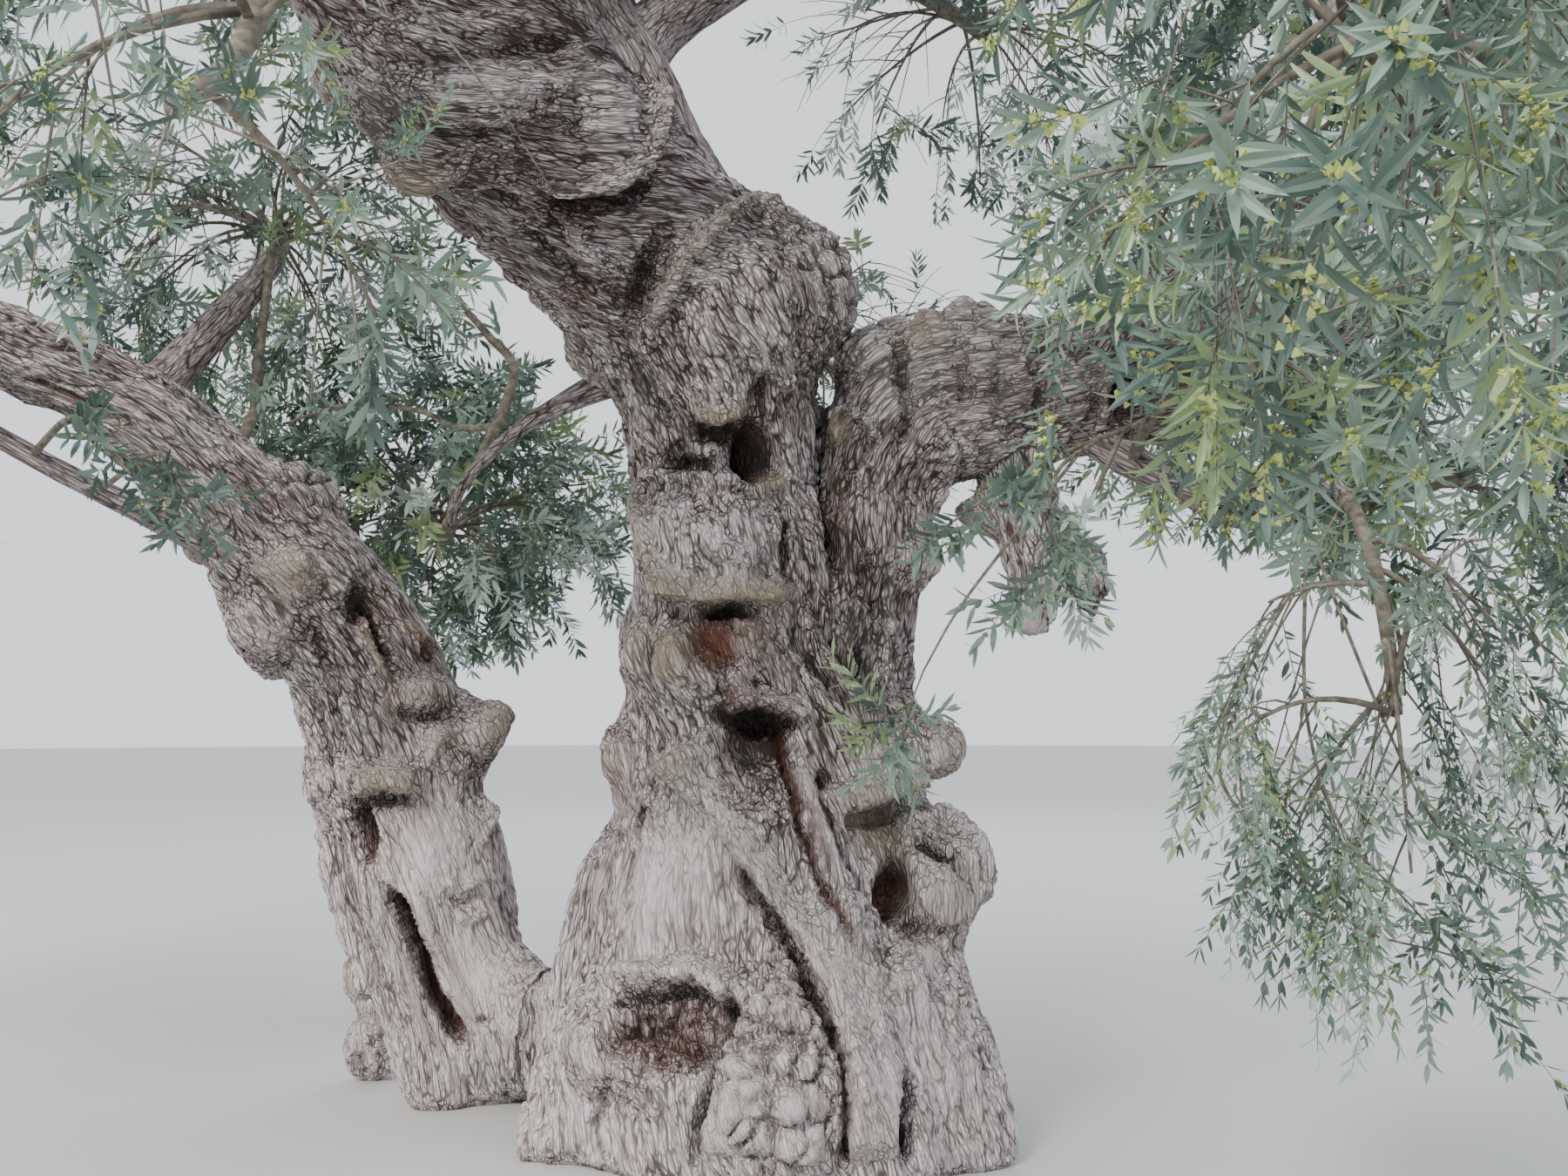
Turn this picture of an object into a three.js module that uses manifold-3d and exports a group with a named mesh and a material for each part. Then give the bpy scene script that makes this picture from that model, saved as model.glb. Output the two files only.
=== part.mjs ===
// An old olive tree: two stems that rise from one root, their boughs, and the masses of foliage that they carry.
// Lengths are millimetres. +Z is up and, seen from the tree's front, +X is to the right and +Y away.
// The origin is at the middle of the flat cut under the main trunk, at ground level.

import * as THREE from "three";
import { mergeVertices } from "three/addons/utils/BufferGeometryUtils.js";
import Module from "manifold-3d";

const wasm = await Module();
wasm.setup();

const seatGap = 0.3; // left between two pieces that meet face to face
const sliver = 0.1; // facets thinner than this are closed up
const goldenAngle = Math.PI * (3 - Math.sqrt(5));
const up = new THREE.Vector3(0, 0, 1);

// Bark, younger bark and leaves, as plain finishes
const barkFinish = new THREE.MeshStandardMaterial({ color: "#8b7a69", roughness: 0.95, metalness: 0 });
const twigFinish = new THREE.MeshStandardMaterial({ color: "#87816f", roughness: 0.85, metalness: 0 });
const leafFinish = new THREE.MeshStandardMaterial({ color: "#6d8465", roughness: 0.6, metalness: 0 });

// The thick limbs follow lines of stations, each an x, y, z and the radius there.
const trunkStations = [
  [-20, 0, -100, 700],
  [-50, 0, 250, 640],
  [-60, 0, 560, 590],
  [-40, 0, 860, 560],
  [10, 0, 1160, 525],
  [30, 0, 1450, 480],
  [10, 10, 1720, 430],
  [20, 10, 2000, 380],
];
const upperStations = [
  [-120, -20, 1500, 300],
  [-165, -50, 2060, 315],
  [-170, -90, 2390, 325],
  [-200, -130, 2690, 350],
  [-340, -220, 3010, 370],
  [-560, -370, 3260, 370],
  [-780, -570, 3470, 385],
  [-1000, -780, 3660, 390],
  [-1180, -960, 3880, 340],
];
const rightStations = [
  [230, 0, 1500, 220],
  [340, 0, 1980, 225],
  [390, 0, 2340, 235],
  [560, 0, 2600, 262],
  [880, 0, 2680, 255],
  [1350, 80, 2730, 215],
  [1840, 180, 2880, 180],
  [2200, 320, 3220, 135],
];
const secondStations = [
  [-1290, 580, 560, 270],
  [-1420, 560, 980, 285],
  [-1480, 540, 1350, 295],
  [-1620, 500, 1720, 280],
  [-1830, 450, 2000, 270],
  [-2060, 390, 2270, 235],
  [-2330, 300, 2560, 205],
  [-2680, 180, 2790, 172],
  [-3150, 30, 3000, 145],
  [-3650, -250, 3150, 105],
];

// Where each thick line passes from the trunk into its bough, as a share of the line
const forks = { upper: 0.37, right: 0.5, left: 0.6 };
const blend = 90; // how softly the parts of a thick limb run into each other
const fineness = 120; // size of the facets that a thick limb is first formed with
const facetTolerance = 19; // how far the finished facets may stray from those

// Burls and knees that stand out of the limbs
const trunkBurls = {
  nose_on_the_right: { at: [570, -200, 930], size: [215, 250, 230] },
  knob_on_the_right: { at: [560, -120, 1390], size: [130, 130, 90] },
  broad_root_burl: { at: [0, -520, 230], size: [300, 230, 420] },
  left_foot_burl: { at: [-400, -440, 420], size: [290, 230, 200] },
  brow_lip: { at: [-200, -300, 2090], size: [270, 220, 200] },
  scarred_burl: { at: [-250, -320, 1690], size: [230, 210, 220] },
  left_knee: { at: [-500, -60, 1370], size: [110, 130, 130] },
  left_shoulder: { at: [-440, -40, 1740], size: [120, 140, 150] },
  elbow_knob: { at: [370, 10, 2800], size: [150, 160, 150] },
  rear_burl: { at: [150, 450, 820], size: [330, 280, 320] },
  rear_foot_burl: { at: [-300, 520, 250], size: [300, 260, 340] },
  rear_shoulder: { at: [-80, 350, 1850], size: [260, 200, 320] },
};
const trunkHollows = {
  foot_niche: { at: [-300, -740, 480], size: [200, 160, 110] },
  under_the_nose: { at: [400, -560, 960], size: [60, 150, 160] },
  rear_niche: { at: [-60, 760, 560], size: [150, 190, 260] },
};
const upperBurls = {
  shield_burl: { at: [-60, -230, 2960], size: [290, 300, 400] },
  drooping_lip: { at: [-1010, -900, 3400], size: [250, 270, 230] },
};
const rightBurls = {
  saddle_knob: { at: [1130, 60, 2830], size: [190, 190, 160] },
  chin: { at: [640, -80, 2520], size: [180, 160, 150] },
};
const secondBurls = {
  right_knob: { at: [-1200, 470, 1420], size: [150, 160, 150] },
  left_brow: { at: [-1610, 360, 1250], size: [190, 160, 110] },
  neck_burl: { at: [-1840, 380, 2020], size: [270, 270, 210] },
  neck_knob: { at: [-1990, 420, 1850], size: [170, 180, 140] },
  toe: { at: [-980, 480, 380], size: [190, 190, 160] },
  rear_burl: { at: [-1500, 780, 1150], size: [220, 190, 260] },
};

// Roots, legs and folds of wood: each runs from its first point to its last, with a radius at each end.
const trunkRoots = {
  diagonal_fold: {
    points: [[-230, -330, 1480], [120, -420, 1080], [330, -470, 640], [390, -560, -60]],
    radii: [110, 190],
  },
  right_root: { points: [[400, -160, 900], [560, -260, 450], [690, -300, -60]], radii: [200, 200] },
  left_root: { points: [[-460, -60, 850], [-560, -130, 420], [-700, -220, -60]], radii: [230, 180] },
  rear_right_root: { points: [[350, 250, 900], [540, 480, 350], [680, 620, -60]], radii: [220, 170] },
  rear_left_root: { points: [[-350, 250, 800], [-540, 470, 300], [-600, 620, -60]], radii: [210, 160] },
  shared_root: { points: [[-350, 150, 200], [-640, 290, 140], [-900, 430, 130]], radii: [200, 150] },
};
const secondRoots = {
  left_leg: {
    points: [[-1640, 470, 1120], [-1590, 460, 840], [-1480, 440, 560], [-1370, 420, 330], [-1240, 410, -60]],
    radii: [120, 135],
  },
  right_leg: { points: [[-1310, 580, 980], [-1200, 580, 500], [-1120, 590, -60]], radii: [220, 180] },
  rear_leg: { points: [[-1500, 680, 900], [-1560, 760, 450], [-1650, 850, -60]], radii: [140, 80] },
  shared_root: { points: [[-800, 390, 130], [-980, 480, 200], [-1120, 550, 300]], radii: [150, 160] },
};
const sharedRootAt = 880; // distance from the origin at which the second trunk takes over the shared root
const towardsSecond = new THREE.Vector3(-0.91, 0.415, 0).normalize();

// Thinner boughs: each leaves its parent `at` a share of the parent's line and arches to its tip.
const boughs = {
  rear_bough: { from: "upper", at: 0.43, tip: [-760, 260, 4350], arch: [200, 200, 0], radii: [235, 150] },
  crown_top_bough: { from: "upper", at: 0.93, tip: [-700, -500, 5150], arch: [-260, -100, 100], radii: [170, 75] },
  upper_left_bough: { from: "upper", at: 0.97, tip: [-2050, -950, 4500], arch: [0, 0, 160], radii: [175, 80] },
  front_left_bough: { from: "upper", at: 0.99, tip: [-1450, -2250, 3900], arch: [0, 0, 330], radii: [160, 70] },
  front_top_bough: { from: "upper", at: 0.9, tip: [150, -1850, 4500], arch: [0, 0, 220], radii: [150, 70] },
  near_left_bough: {
    from: "front_left_bough", at: 0.72, tip: [-1000, -2600, 3150], arch: [60, -140, 200], radii: [55, 32],
  },
  rear_left_bough: { from: "rear_bough", at: 0.9, tip: [-1450, 1250, 4750], arch: [0, 0, 120], radii: [120, 65] },
  rear_right_bough: { from: "rear_bough", at: 0.8, tip: [700, 1500, 5000], arch: [0, 0, 600], radii: [120, 65] },
  rear_mid_bough: { from: "rear_bough", at: 0.6, tip: [50, 2400, 3650], arch: [-100, 0, 450], radii: [115, 60] },
  top_right_bough: { from: "rear_bough", at: 0.97, tip: [650, -150, 5150], arch: [-150, 0, 350], radii: [110, 60] },
  right_top_bough: { from: "right", at: 0.99, tip: [2550, 430, 4150], arch: [80, 0, 0], radii: [105, 60] },
  right_end_bough: { from: "right", at: 0.87, tip: [3400, 150, 3250], arch: [0, 0, 120], radii: [110, 60] },
  rear_right_low_bough: { from: "right", at: 0.72, tip: [2150, 1600, 3350], arch: [-100, 0, 230], radii: [110, 58] },
  right_front_bough: { from: "right", at: 0.78, tip: [2250, -1350, 3450], arch: [0, 0, 260], radii: [110, 60] },
  right_mid_bough: { from: "right", at: 0.66, tip: [1450, -700, 3050], arch: [0, 0, 120], radii: [85, 50] },
  right_low_branch: { from: "right", at: 0.62, tip: [2000, -330, 2230], arch: [-60, 60, -260], radii: [68, 44] },
  near_right_bough: {
    from: "right_front_bough", at: 0.62, tip: [1250, -2500, 3000], arch: [60, 0, 360], radii: [62, 36],
  },
  weeping_branch: {
    from: "right_low_branch", at: 0.72, tip: [1750, -1050, 2150], arch: [60, 0, 160], radii: [36, 24],
  },
  left_top_bough: { from: "left", at: 0.88, tip: [-3700, 120, 3800], arch: [100, 0, 60], radii: [110, 60] },
  left_rear_bough: { from: "left", at: 0.72, tip: [-2230, 1050, 3500], arch: [60, 0, 0], radii: [90, 52] },
  left_low_branch: { from: "left", at: 0.45, tip: [-3000, -280, 2650], arch: [-30, -70, -70], radii: [68, 42] },
  side_branch: { from: "upper", at: 0.42, tip: [-1420, 1100, 2330], arch: [-340, -340, 60], radii: [64, 36] },
  pale_spur: { from: "rear_bough", at: 0.5, tip: [90, 600, 3480], arch: [40, 80, 90], radii: [62, 50] },
  pruned_stub: { from: "right", at: 0.56, tip: [950, -90, 1800], arch: [90, 0, 0], radii: [130, 85] },
  pruned_prong: { from: "pruned_stub", at: 0.5, tip: [1200, 20, 1890], arch: [60, 0, 60], radii: [100, 80] },
};

// Masses of foliage: the bough that carries each, and the middle and half-widths of the space it keeps to
const masses = {
  crown_top: { on: "crown_top_bough", middle: [-600, -300, 5950], reach: [1300, 1200, 800] },
  upper_left: { on: "upper_left_bough", middle: [-2650, -950, 4900], reach: [1150, 1100, 820] },
  front_left: { on: "front_left_bough", middle: [-1650, -2900, 4100], reach: [1100, 1000, 800] },
  front_top: { on: "front_top_bough", middle: [500, -2400, 4850], reach: [1200, 1100, 800] },
  near_left: { on: "near_left_bough", middle: [-950, -3150, 2500], reach: [650, 900, 520] },
  rear_top_left: { on: "rear_left_bough", middle: [-1750, 1600, 5100], reach: [1150, 1100, 820] },
  rear_top_right: { on: "rear_right_bough", middle: [1100, 1900, 4900], reach: [1150, 1100, 820] },
  rear_mid: { on: "rear_mid_bough", middle: [300, 3050, 3500], reach: [1000, 850, 780] },
  top_right: { on: "top_right_bough", middle: [1100, -300, 5600], reach: [1100, 1100, 780] },
  right_top: { on: "right_top_bough", middle: [2700, 500, 4700], reach: [1100, 1100, 800] },
  right_end: { on: "right_end_bough", middle: [4050, 150, 3400], reach: [850, 1100, 850] },
  rear_right: { on: "rear_right_low_bough", middle: [2500, 2300, 3300], reach: [1100, 950, 820] },
  right_front: { on: "right_front_bough", middle: [2750, -2050, 3600], reach: [1000, 950, 800] },
  right_mid: { on: "right_mid_bough", middle: [1700, -1150, 3150], reach: [650, 600, 550] },
  right_low: { on: "right_low_branch", middle: [2500, -500, 2400], reach: [850, 700, 480] },
  near_right: { on: "near_right_bough", middle: [950, -3350, 2500], reach: [650, 950, 620] },
  hanging_shoots: { on: "weeping_branch", middle: [1700, -1500, 1500], reach: [560, 460, 620] },
  left_top: { on: "left_top_bough", middle: [-3950, 200, 4250], reach: [1000, 1100, 800] },
  left_end: { on: "left", middle: [-4400, -900, 3100], reach: [800, 950, 820] },
  left_rear: { on: "left_rear_bough", middle: [-2600, 1750, 3850], reach: [1100, 1000, 880] },
  left_low: { on: "left_low_branch", middle: [-3300, -900, 2350], reach: [700, 650, 520] },
  rear_low_left: { on: "side_branch", middle: [-1700, 1900, 2550], reach: [1050, 850, 700] },
};
const twigsInMass = 7;
const leavesOnTwig = 3;
const leafLength = 600; // each leaf stands for a spray
const leafWidth = 240;
const leafThickness = 20;
const leafBelly = 0.36; // how far along a leaf is widest
const leafRoot = 6; // how far a leaf's foot goes past the middle of its twig
const twigRadius = 19;
const limbClearance = 55;
const twigReach = { least: 0.72, spread: 0.2 }; // how far out in its mass's space a twig ends
const twigStart = { least: 0.45, spread: 0.5 }; // how far along the stem a twig leaves it
const twigArch = 0.12; // how high a twig arches, as a share of its length
const twigTaper = 0.8;
const leafSeat = 0.97; // the last leaf's foot is this far along its twig
const leafLean = { last: 0.1, others: 0.9 }; // how far a leaf turns away from its twig
const leafSize = { least: 0.85, spread: 0.3 };

const point = ([x, y, z]) => new THREE.Vector3(x, y, z);

// A closed geometry as a solid that can be joined and cut
function solidOf(geometry) {
  const bare = geometry.index ? geometry.toNonIndexed() : geometry.clone();
  for (const name of Object.keys(bare.attributes)) if (name !== "position") bare.deleteAttribute(name);
  const merged = mergeVertices(bare, 1e-3);
  return new wasm.Manifold(
    new wasm.Mesh({
      numProp: 3,
      vertProperties: merged.attributes.position.array,
      triVerts: new Uint32Array(merged.index.array),
    }),
  );
}

// The largest body of a solid, without loose scraps or sealed hollows
function soundBody(solid) {
  return solid.decompose().reduce((best, body) => (body.volume() > best.volume() ? body : best));
}

function meshOf(solid, name, finish) {
  const { numProp, vertProperties, triVerts } = solid.getMesh();
  const corners = new Float32Array((vertProperties.length / numProp) * 3);
  for (let i = 0; i < corners.length / 3; i++) {
    corners.set(vertProperties.subarray(i * numProp, i * numProp + 3), i * 3);
  }
  const geometry = new THREE.BufferGeometry();
  geometry.setAttribute("position", new THREE.BufferAttribute(corners, 3));
  geometry.setIndex(new THREE.BufferAttribute(triVerts, 1));
  geometry.computeVertexNormals();
  const mesh = new THREE.Mesh(geometry, finish);
  mesh.name = name;
  return mesh;
}

// A limb's line: its curve, its radius at each share of the way, and a direction that its rings start from
function stationLine(stations) {
  const path = new THREE.CatmullRomCurve3(stations.map(point), false, "centripetal");
  const last = stations.length - 1;
  const radius = (t) => {
    const i = Math.min(Math.floor(t * last), last - 1);
    return THREE.MathUtils.lerp(stations[i][3], stations[i + 1][3], t * last - i);
  };
  return { path, radius, across: new THREE.Vector3(0, 1, 0) };
}

function archLine(start, tip, arch, radii) {
  const middle = start.clone().lerp(tip, 0.5).add(point(arch));
  return {
    path: new THREE.QuadraticBezierCurve3(start, middle, tip),
    radius: (t) => THREE.MathUtils.lerp(radii[0], radii[1], t),
    across: acrossOf(middle.clone().sub(start), tip.clone().sub(middle)),
  };
}

// A direction square to both, or to the first alone where the two are in line
function acrossOf(first, second) {
  const across = first.clone().cross(second);
  if (across.length() < 1) across.copy(first).cross(new THREE.Vector3(0.3, 1, 0.2));
  return across.normalize();
}

// A limb between two shares of its line: rings of corners with a flat cap at each end. A limb that is seated on its
// parent starts the seat gap clear of it.
function limbSolid({ path, radius, across }, from, to, sides, rings, isSeated = false) {
  const corners = [];
  const faces = [];
  for (let i = 0; i <= rings; i++) {
    const t = THREE.MathUtils.lerp(from, to, i / rings);
    const centre = path.getPoint(t);
    const along = path.getTangent(t);
    if (i === 0 && isSeated) centre.addScaledVector(along, seatGap);
    const side = across.clone().addScaledVector(along, -across.dot(along)).normalize();
    const front = along.clone().cross(side);
    for (let j = 0; j < sides; j++) {
      const angle = (j / sides) * 2 * Math.PI;
      const r = radius(t);
      const corner = centre.clone();
      corner.addScaledVector(side, r * Math.cos(angle)).addScaledVector(front, r * Math.sin(angle));
      corners.push(...corner.toArray());
    }
  }
  for (let i = 0; i < rings; i++) {
    for (let j = 0; j < sides; j++) {
      const a = i * sides + j;
      const b = i * sides + ((j + 1) % sides);
      faces.push(a, b, b + sides, a, b + sides, a + sides);
    }
  }
  for (let j = 1; j < sides - 1; j++) {
    const top = rings * sides;
    faces.push(0, j + 1, j, top, top + j, top + j + 1);
  }
  const geometry = new THREE.BufferGeometry();
  geometry.setAttribute("position", new THREE.Float32BufferAttribute(corners, 3));
  geometry.setIndex(faces);
  return solidOf(geometry);
}

// How far inside a shape a place is, for a chain of round-ended lengths and for a burl: more than 0 within it
function chainField(stations) {
  const lengths = stations.slice(1).map((end, i) => ({
    start: point(stations[i]),
    line: new THREE.Line3(point(stations[i]), point(end)),
    radii: [stations[i][3], end[3]],
  }));
  const nearest = new THREE.Vector3();
  return (place) => {
    const depths = lengths.map(({ line, radii }) => {
      const t = line.closestPointToPointParameter(place, true);
      return THREE.MathUtils.lerp(radii[0], radii[1], t) - line.at(t, nearest).distanceTo(place);
    });
    return Math.max(...depths);
  };
}

function burlField({ at, size }) {
  return (place) => {
    const share = Math.hypot((place.x - at[0]) / size[0], (place.y - at[1]) / size[1], (place.z - at[2]) / size[2]);
    return (1 - share) * Math.min(...size);
  };
}

function rootField({ points, radii }) {
  const last = points.length - 1;
  return chainField(points.map((p, i) => [...p, THREE.MathUtils.lerp(radii[0], radii[1], i / last)]));
}

function lineField({ path, radius }, from, to) {
  const stations = [];
  for (let i = 0; i <= 10; i++) {
    const t = THREE.MathUtils.lerp(from, to, i / 10);
    stations.push([...path.getPoint(t).toArray(), radius(t)]);
  }
  return chainField(stations);
}

// The greater of two depths, rounded over where they are nearly alike
function softMax(a, b) {
  const h = THREE.MathUtils.clamp(0.5 + (a - b) / (2 * blend), 0, 1);
  return THREE.MathUtils.lerp(b, a, h) + blend * h * (1 - h);
}

// One solid in which all the shapes run softly into each other, less the hollows
function gnarled(shapes, hollows, { min, max }) {
  const depth = ([x, y, z]) => {
    const place = new THREE.Vector3(x, y, z);
    const wood = shapes.map((shape) => shape(place)).reduce(softMax);
    return hollows.map((hollow) => hollow(place)).reduce((left, hollow) => -softMax(-left, hollow), wood);
  };
  return wasm.Manifold.levelSet(depth, { min, max }, fineness, 0).simplify(facetTolerance);
}

// Cuts everything below the ground away, flat
function cutAtGround(solid) {
  const wide = 12000;
  const deep = 2000;
  const below = new THREE.BoxGeometry(wide, wide, deep).translate(0, 0, -deep / 2);
  return solid.subtract(solidOf(below));
}

// A block that ends flat on the plane across a direction at a place, and lies beyond it
function blockBeyond(place, direction, width, depth) {
  const side = acrossOf(direction, direction);
  const basis = new THREE.Matrix4().makeBasis(side, direction.clone().cross(side), direction).setPosition(place);
  return solidOf(new THREE.BoxGeometry(width, width, depth).translate(0, 0, depth / 2).applyMatrix4(basis));
}

// The block past a fork, and the block before it, which keep a bough and its trunk the seat gap apart. Their width
// and depth go by the limb's radius there.
const forkBlocks = { beyond: 3.4, before: 4, depth: 3 };
function beyondFork(name) {
  const { path, radius } = lines[name];
  const t = forks[name];
  const r = radius(t);
  return blockBeyond(path.getPoint(t), path.getTangent(t), r * forkBlocks.beyond, r * forkBlocks.depth);
}

function beforeFork(name) {
  const { path, radius } = lines[name];
  const t = forks[name];
  const along = path.getTangent(t);
  const place = path.getPoint(t).addScaledVector(along, seatGap);
  return blockBeyond(place, along.negate(), radius(t) * forkBlocks.before, radius(t) * forkBlocks.depth);
}

const lines = {
  upper: stationLine(upperStations),
  right: stationLine(rightStations),
  left: stationLine(secondStations),
};

// The first share of a bough's line whose whole ring is clear of its parent
function jointOf(line, parent) {
  const near = parent.path.getPoints(60);
  const margin = 25;
  for (let t = 0.02; t < 0.7; t += 0.01) {
    const centre = line.path.getPoint(t);
    const along = line.path.getTangent(t);
    const side = line.across.clone().addScaledVector(along, -line.across.dot(along)).normalize();
    const front = along.clone().cross(side);
    const clear = [0, 1, 2, 3, 4, 5, 6, 7].every((k) => {
      const angle = (k / 8) * 2 * Math.PI;
      const rim = centre.clone().addScaledVector(side, line.radius(t) * Math.cos(angle));
      rim.addScaledVector(front, line.radius(t) * Math.sin(angle));
      return near.every((p, i) => rim.distanceTo(p) > parent.radius(i / 60) + margin);
    });
    if (clear) return t;
  }
  throw new Error("a bough never leaves its parent");
}

// Thick limbs are formed with more sides and rings than thin ones.
const sidesOf = (radius) => (radius > 140 ? 9 : 6);
const ringsOf = (radius) => (radius > 100 ? 4 : 3);

const stubs = {}; // what each parent carries of its children, up to their joints
const joints = {};
for (const [name, { from, at, tip, arch, radii }] of Object.entries(boughs)) {
  const parent = lines[from];
  lines[name] = archLine(parent.path.getPoint(at), point(tip), arch, radii);
  joints[name] = jointOf(lines[name], parent);
  (stubs[from] ??= []).push({ at, solid: limbSolid(lines[name], 0, joints[name], sidesOf(radii[0]), 2) });
}

const union = (solids) => wasm.Manifold.union(solids);
const group = new THREE.Group();
const solids = {};

function addLimb(name, solid, finish = barkFinish) {
  solids[name] = soundBody(solid.simplify(sliver));
  group.add(meshOf(solids[name], name, finish));
}

// Stubs of the boughs that leave a line between two shares of it
const stubsOn = (line, from, to) =>
  (stubs[line] ?? []).filter(({ at }) => at >= from && at < to).map(({ solid }) => solid);
const fieldsOf = (shapes, fieldOf) => Object.values(shapes).map(fieldOf);
const pastFork = 0.12; // how much further than its fork a trunk's line is formed before it is cut
const rootBlock = [1800, 600]; // width and depth of the blocks that part the shared root

addLimb(
  "main_trunk",
  cutAtGround(
    union([
      gnarled(
        [
          chainField(trunkStations),
          lineField(lines.upper, 0, forks.upper + pastFork),
          lineField(lines.right, 0, forks.right + pastFork),
          ...fieldsOf(trunkBurls, burlField),
          ...fieldsOf(trunkRoots, rootField),
        ],
        fieldsOf(trunkHollows, burlField),
        { min: [-1100, -1000, -150], max: [1100, 1000, 3200] },
      ).subtract(union([beyondFork("upper"), beyondFork("right")])),
      ...stubsOn("upper", 0, forks.upper),
    ]),
  ).subtract(blockBeyond(towardsSecond.clone().multiplyScalar(sharedRootAt), towardsSecond, ...rootBlock)),
);
const fromSecond = towardsSecond.clone().negate();
addLimb(
  "second_trunk",
  cutAtGround(
    union([
      gnarled(
        [
          lineField(lines.left, 0, forks.left + pastFork),
          ...fieldsOf(secondBurls, burlField),
          ...fieldsOf(secondRoots, rootField),
        ],
        [],
        { min: [-2900, -100, -150], max: [-600, 1200, 3000] },
      ).subtract(beyondFork("left")),
      ...stubsOn("left", 0, forks.left),
    ]),
  ).subtract(blockBeyond(towardsSecond.clone().multiplyScalar(sharedRootAt + seatGap), fromSecond, ...rootBlock)),
);
addLimb(
  "upper_bough",
  union([
    gnarled(
      [lineField(lines.upper, forks.upper, 1), ...fieldsOf(upperBurls, burlField)],
      [],
      { min: [-1800, -1600, 2000], max: [400, 500, 4500] },
    ).subtract(beforeFork("upper")),
    ...stubsOn("upper", forks.upper, 1.01),
  ]),
);
addLimb(
  "right_bough",
  union([
    gnarled(
      [lineField(lines.right, forks.right, 1), ...fieldsOf(rightBurls, burlField)],
      [],
      { min: [300, -400, 2100], max: [2600, 700, 3600] },
    ).subtract(beforeFork("right")),
    ...stubsOn("right", forks.right, 1.01),
  ]),
);
addLimb(
  "left_bough",
  union([
    limbSolid(lines.left, forks.left, 1, 10, 5, true),
    ...stubsOn("left", forks.left, 1.01),
  ]),
);
for (const name of Object.keys(boughs)) {
  const thickness = boughs[name].radii[0];
  const own = limbSolid(lines[name], joints[name], 1, sidesOf(thickness), ringsOf(thickness), true);
  addLimb(name, union([own, ...stubsOn(name, 0, 1)]), twigFinish);
}

// How far into a mass's space a place is: 0 at its middle and 1 at its edge
function depthIn({ middle, reach }, place) {
  return Math.hypot(...place.toArray().map((v, i) => (v - middle[i]) / reach[i]));
}

// Whether a place is inside this mass's own space, which ends halfway to each neighbour's, and clear of the limbs
const massMargin = 0.04;
function isFree(mass, place) {
  const depth = depthIn(mass, place);
  const own = Object.values(masses).every((other) => other === mass || depth + massMargin < depthIn(other, place));
  return depth < 1 && own && limbPoints.every(([p, r]) => place.distanceTo(p) > r + limbClearance);
}

const limbPoints = [];
for (const { path, radius } of Object.values(lines)) {
  for (let i = 0; i <= 40; i++) limbPoints.push([path.getPoint(i / 40), radius(i / 40)]);
}

function randomFrom(seed) {
  let state = seed;
  return () => (state = (state * 1664525 + 1013904223) % 4294967296) / 4294967296;
}

// Three directions for a leaf that is rolled about its own line: along it, to its side and up from its face
function leafFrame(direction, roll) {
  const side = up.clone().cross(direction).normalize().applyAxisAngle(direction, roll);
  return [direction, side, direction.clone().cross(side)];
}

// A leaf: a thin pointed blade of eight faces between its foot and its tip
function leafSolid(foot, direction, roll, size) {
  const belly = leafLength * size * leafBelly;
  const half = [(leafWidth * size) / 2, leafThickness / 2];
  const corners = [
    [-leafRoot, 0, 0], [leafLength * size, 0, 0],
    [belly, half[0], 0], [belly, 0, half[1]], [belly, -half[0], 0], [belly, 0, -half[1]],
  ];
  const place = new THREE.Matrix4().makeBasis(...leafFrame(direction, roll)).setPosition(foot);
  const geometry = new THREE.BufferGeometry();
  geometry.setAttribute("position", new THREE.Float32BufferAttribute(corners.flat(), 3));
  geometry.setIndex([2, 3, 4, 5].flatMap((a, i, ring) => [0, ring[(i + 1) % 4], a, 1, a, ring[(i + 1) % 4]]));
  return solidOf(geometry.applyMatrix4(place));
}

function leafIsFree(mass, foot, direction, roll, size) {
  const [along, side] = leafFrame(direction, roll);
  const tip = foot.clone().addScaledVector(along, leafLength * size);
  const middle = foot.clone().lerp(tip, leafBelly);
  const edge = (leafWidth * size) / 2;
  const places = [0.1, 0.2, 0.55, 0.75, 1].map((share) => foot.clone().lerp(tip, share));
  places.push(middle.clone().addScaledVector(side, edge), middle.addScaledVector(side, -edge));
  return places.every((place) => isFree(mass, place));
}

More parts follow.
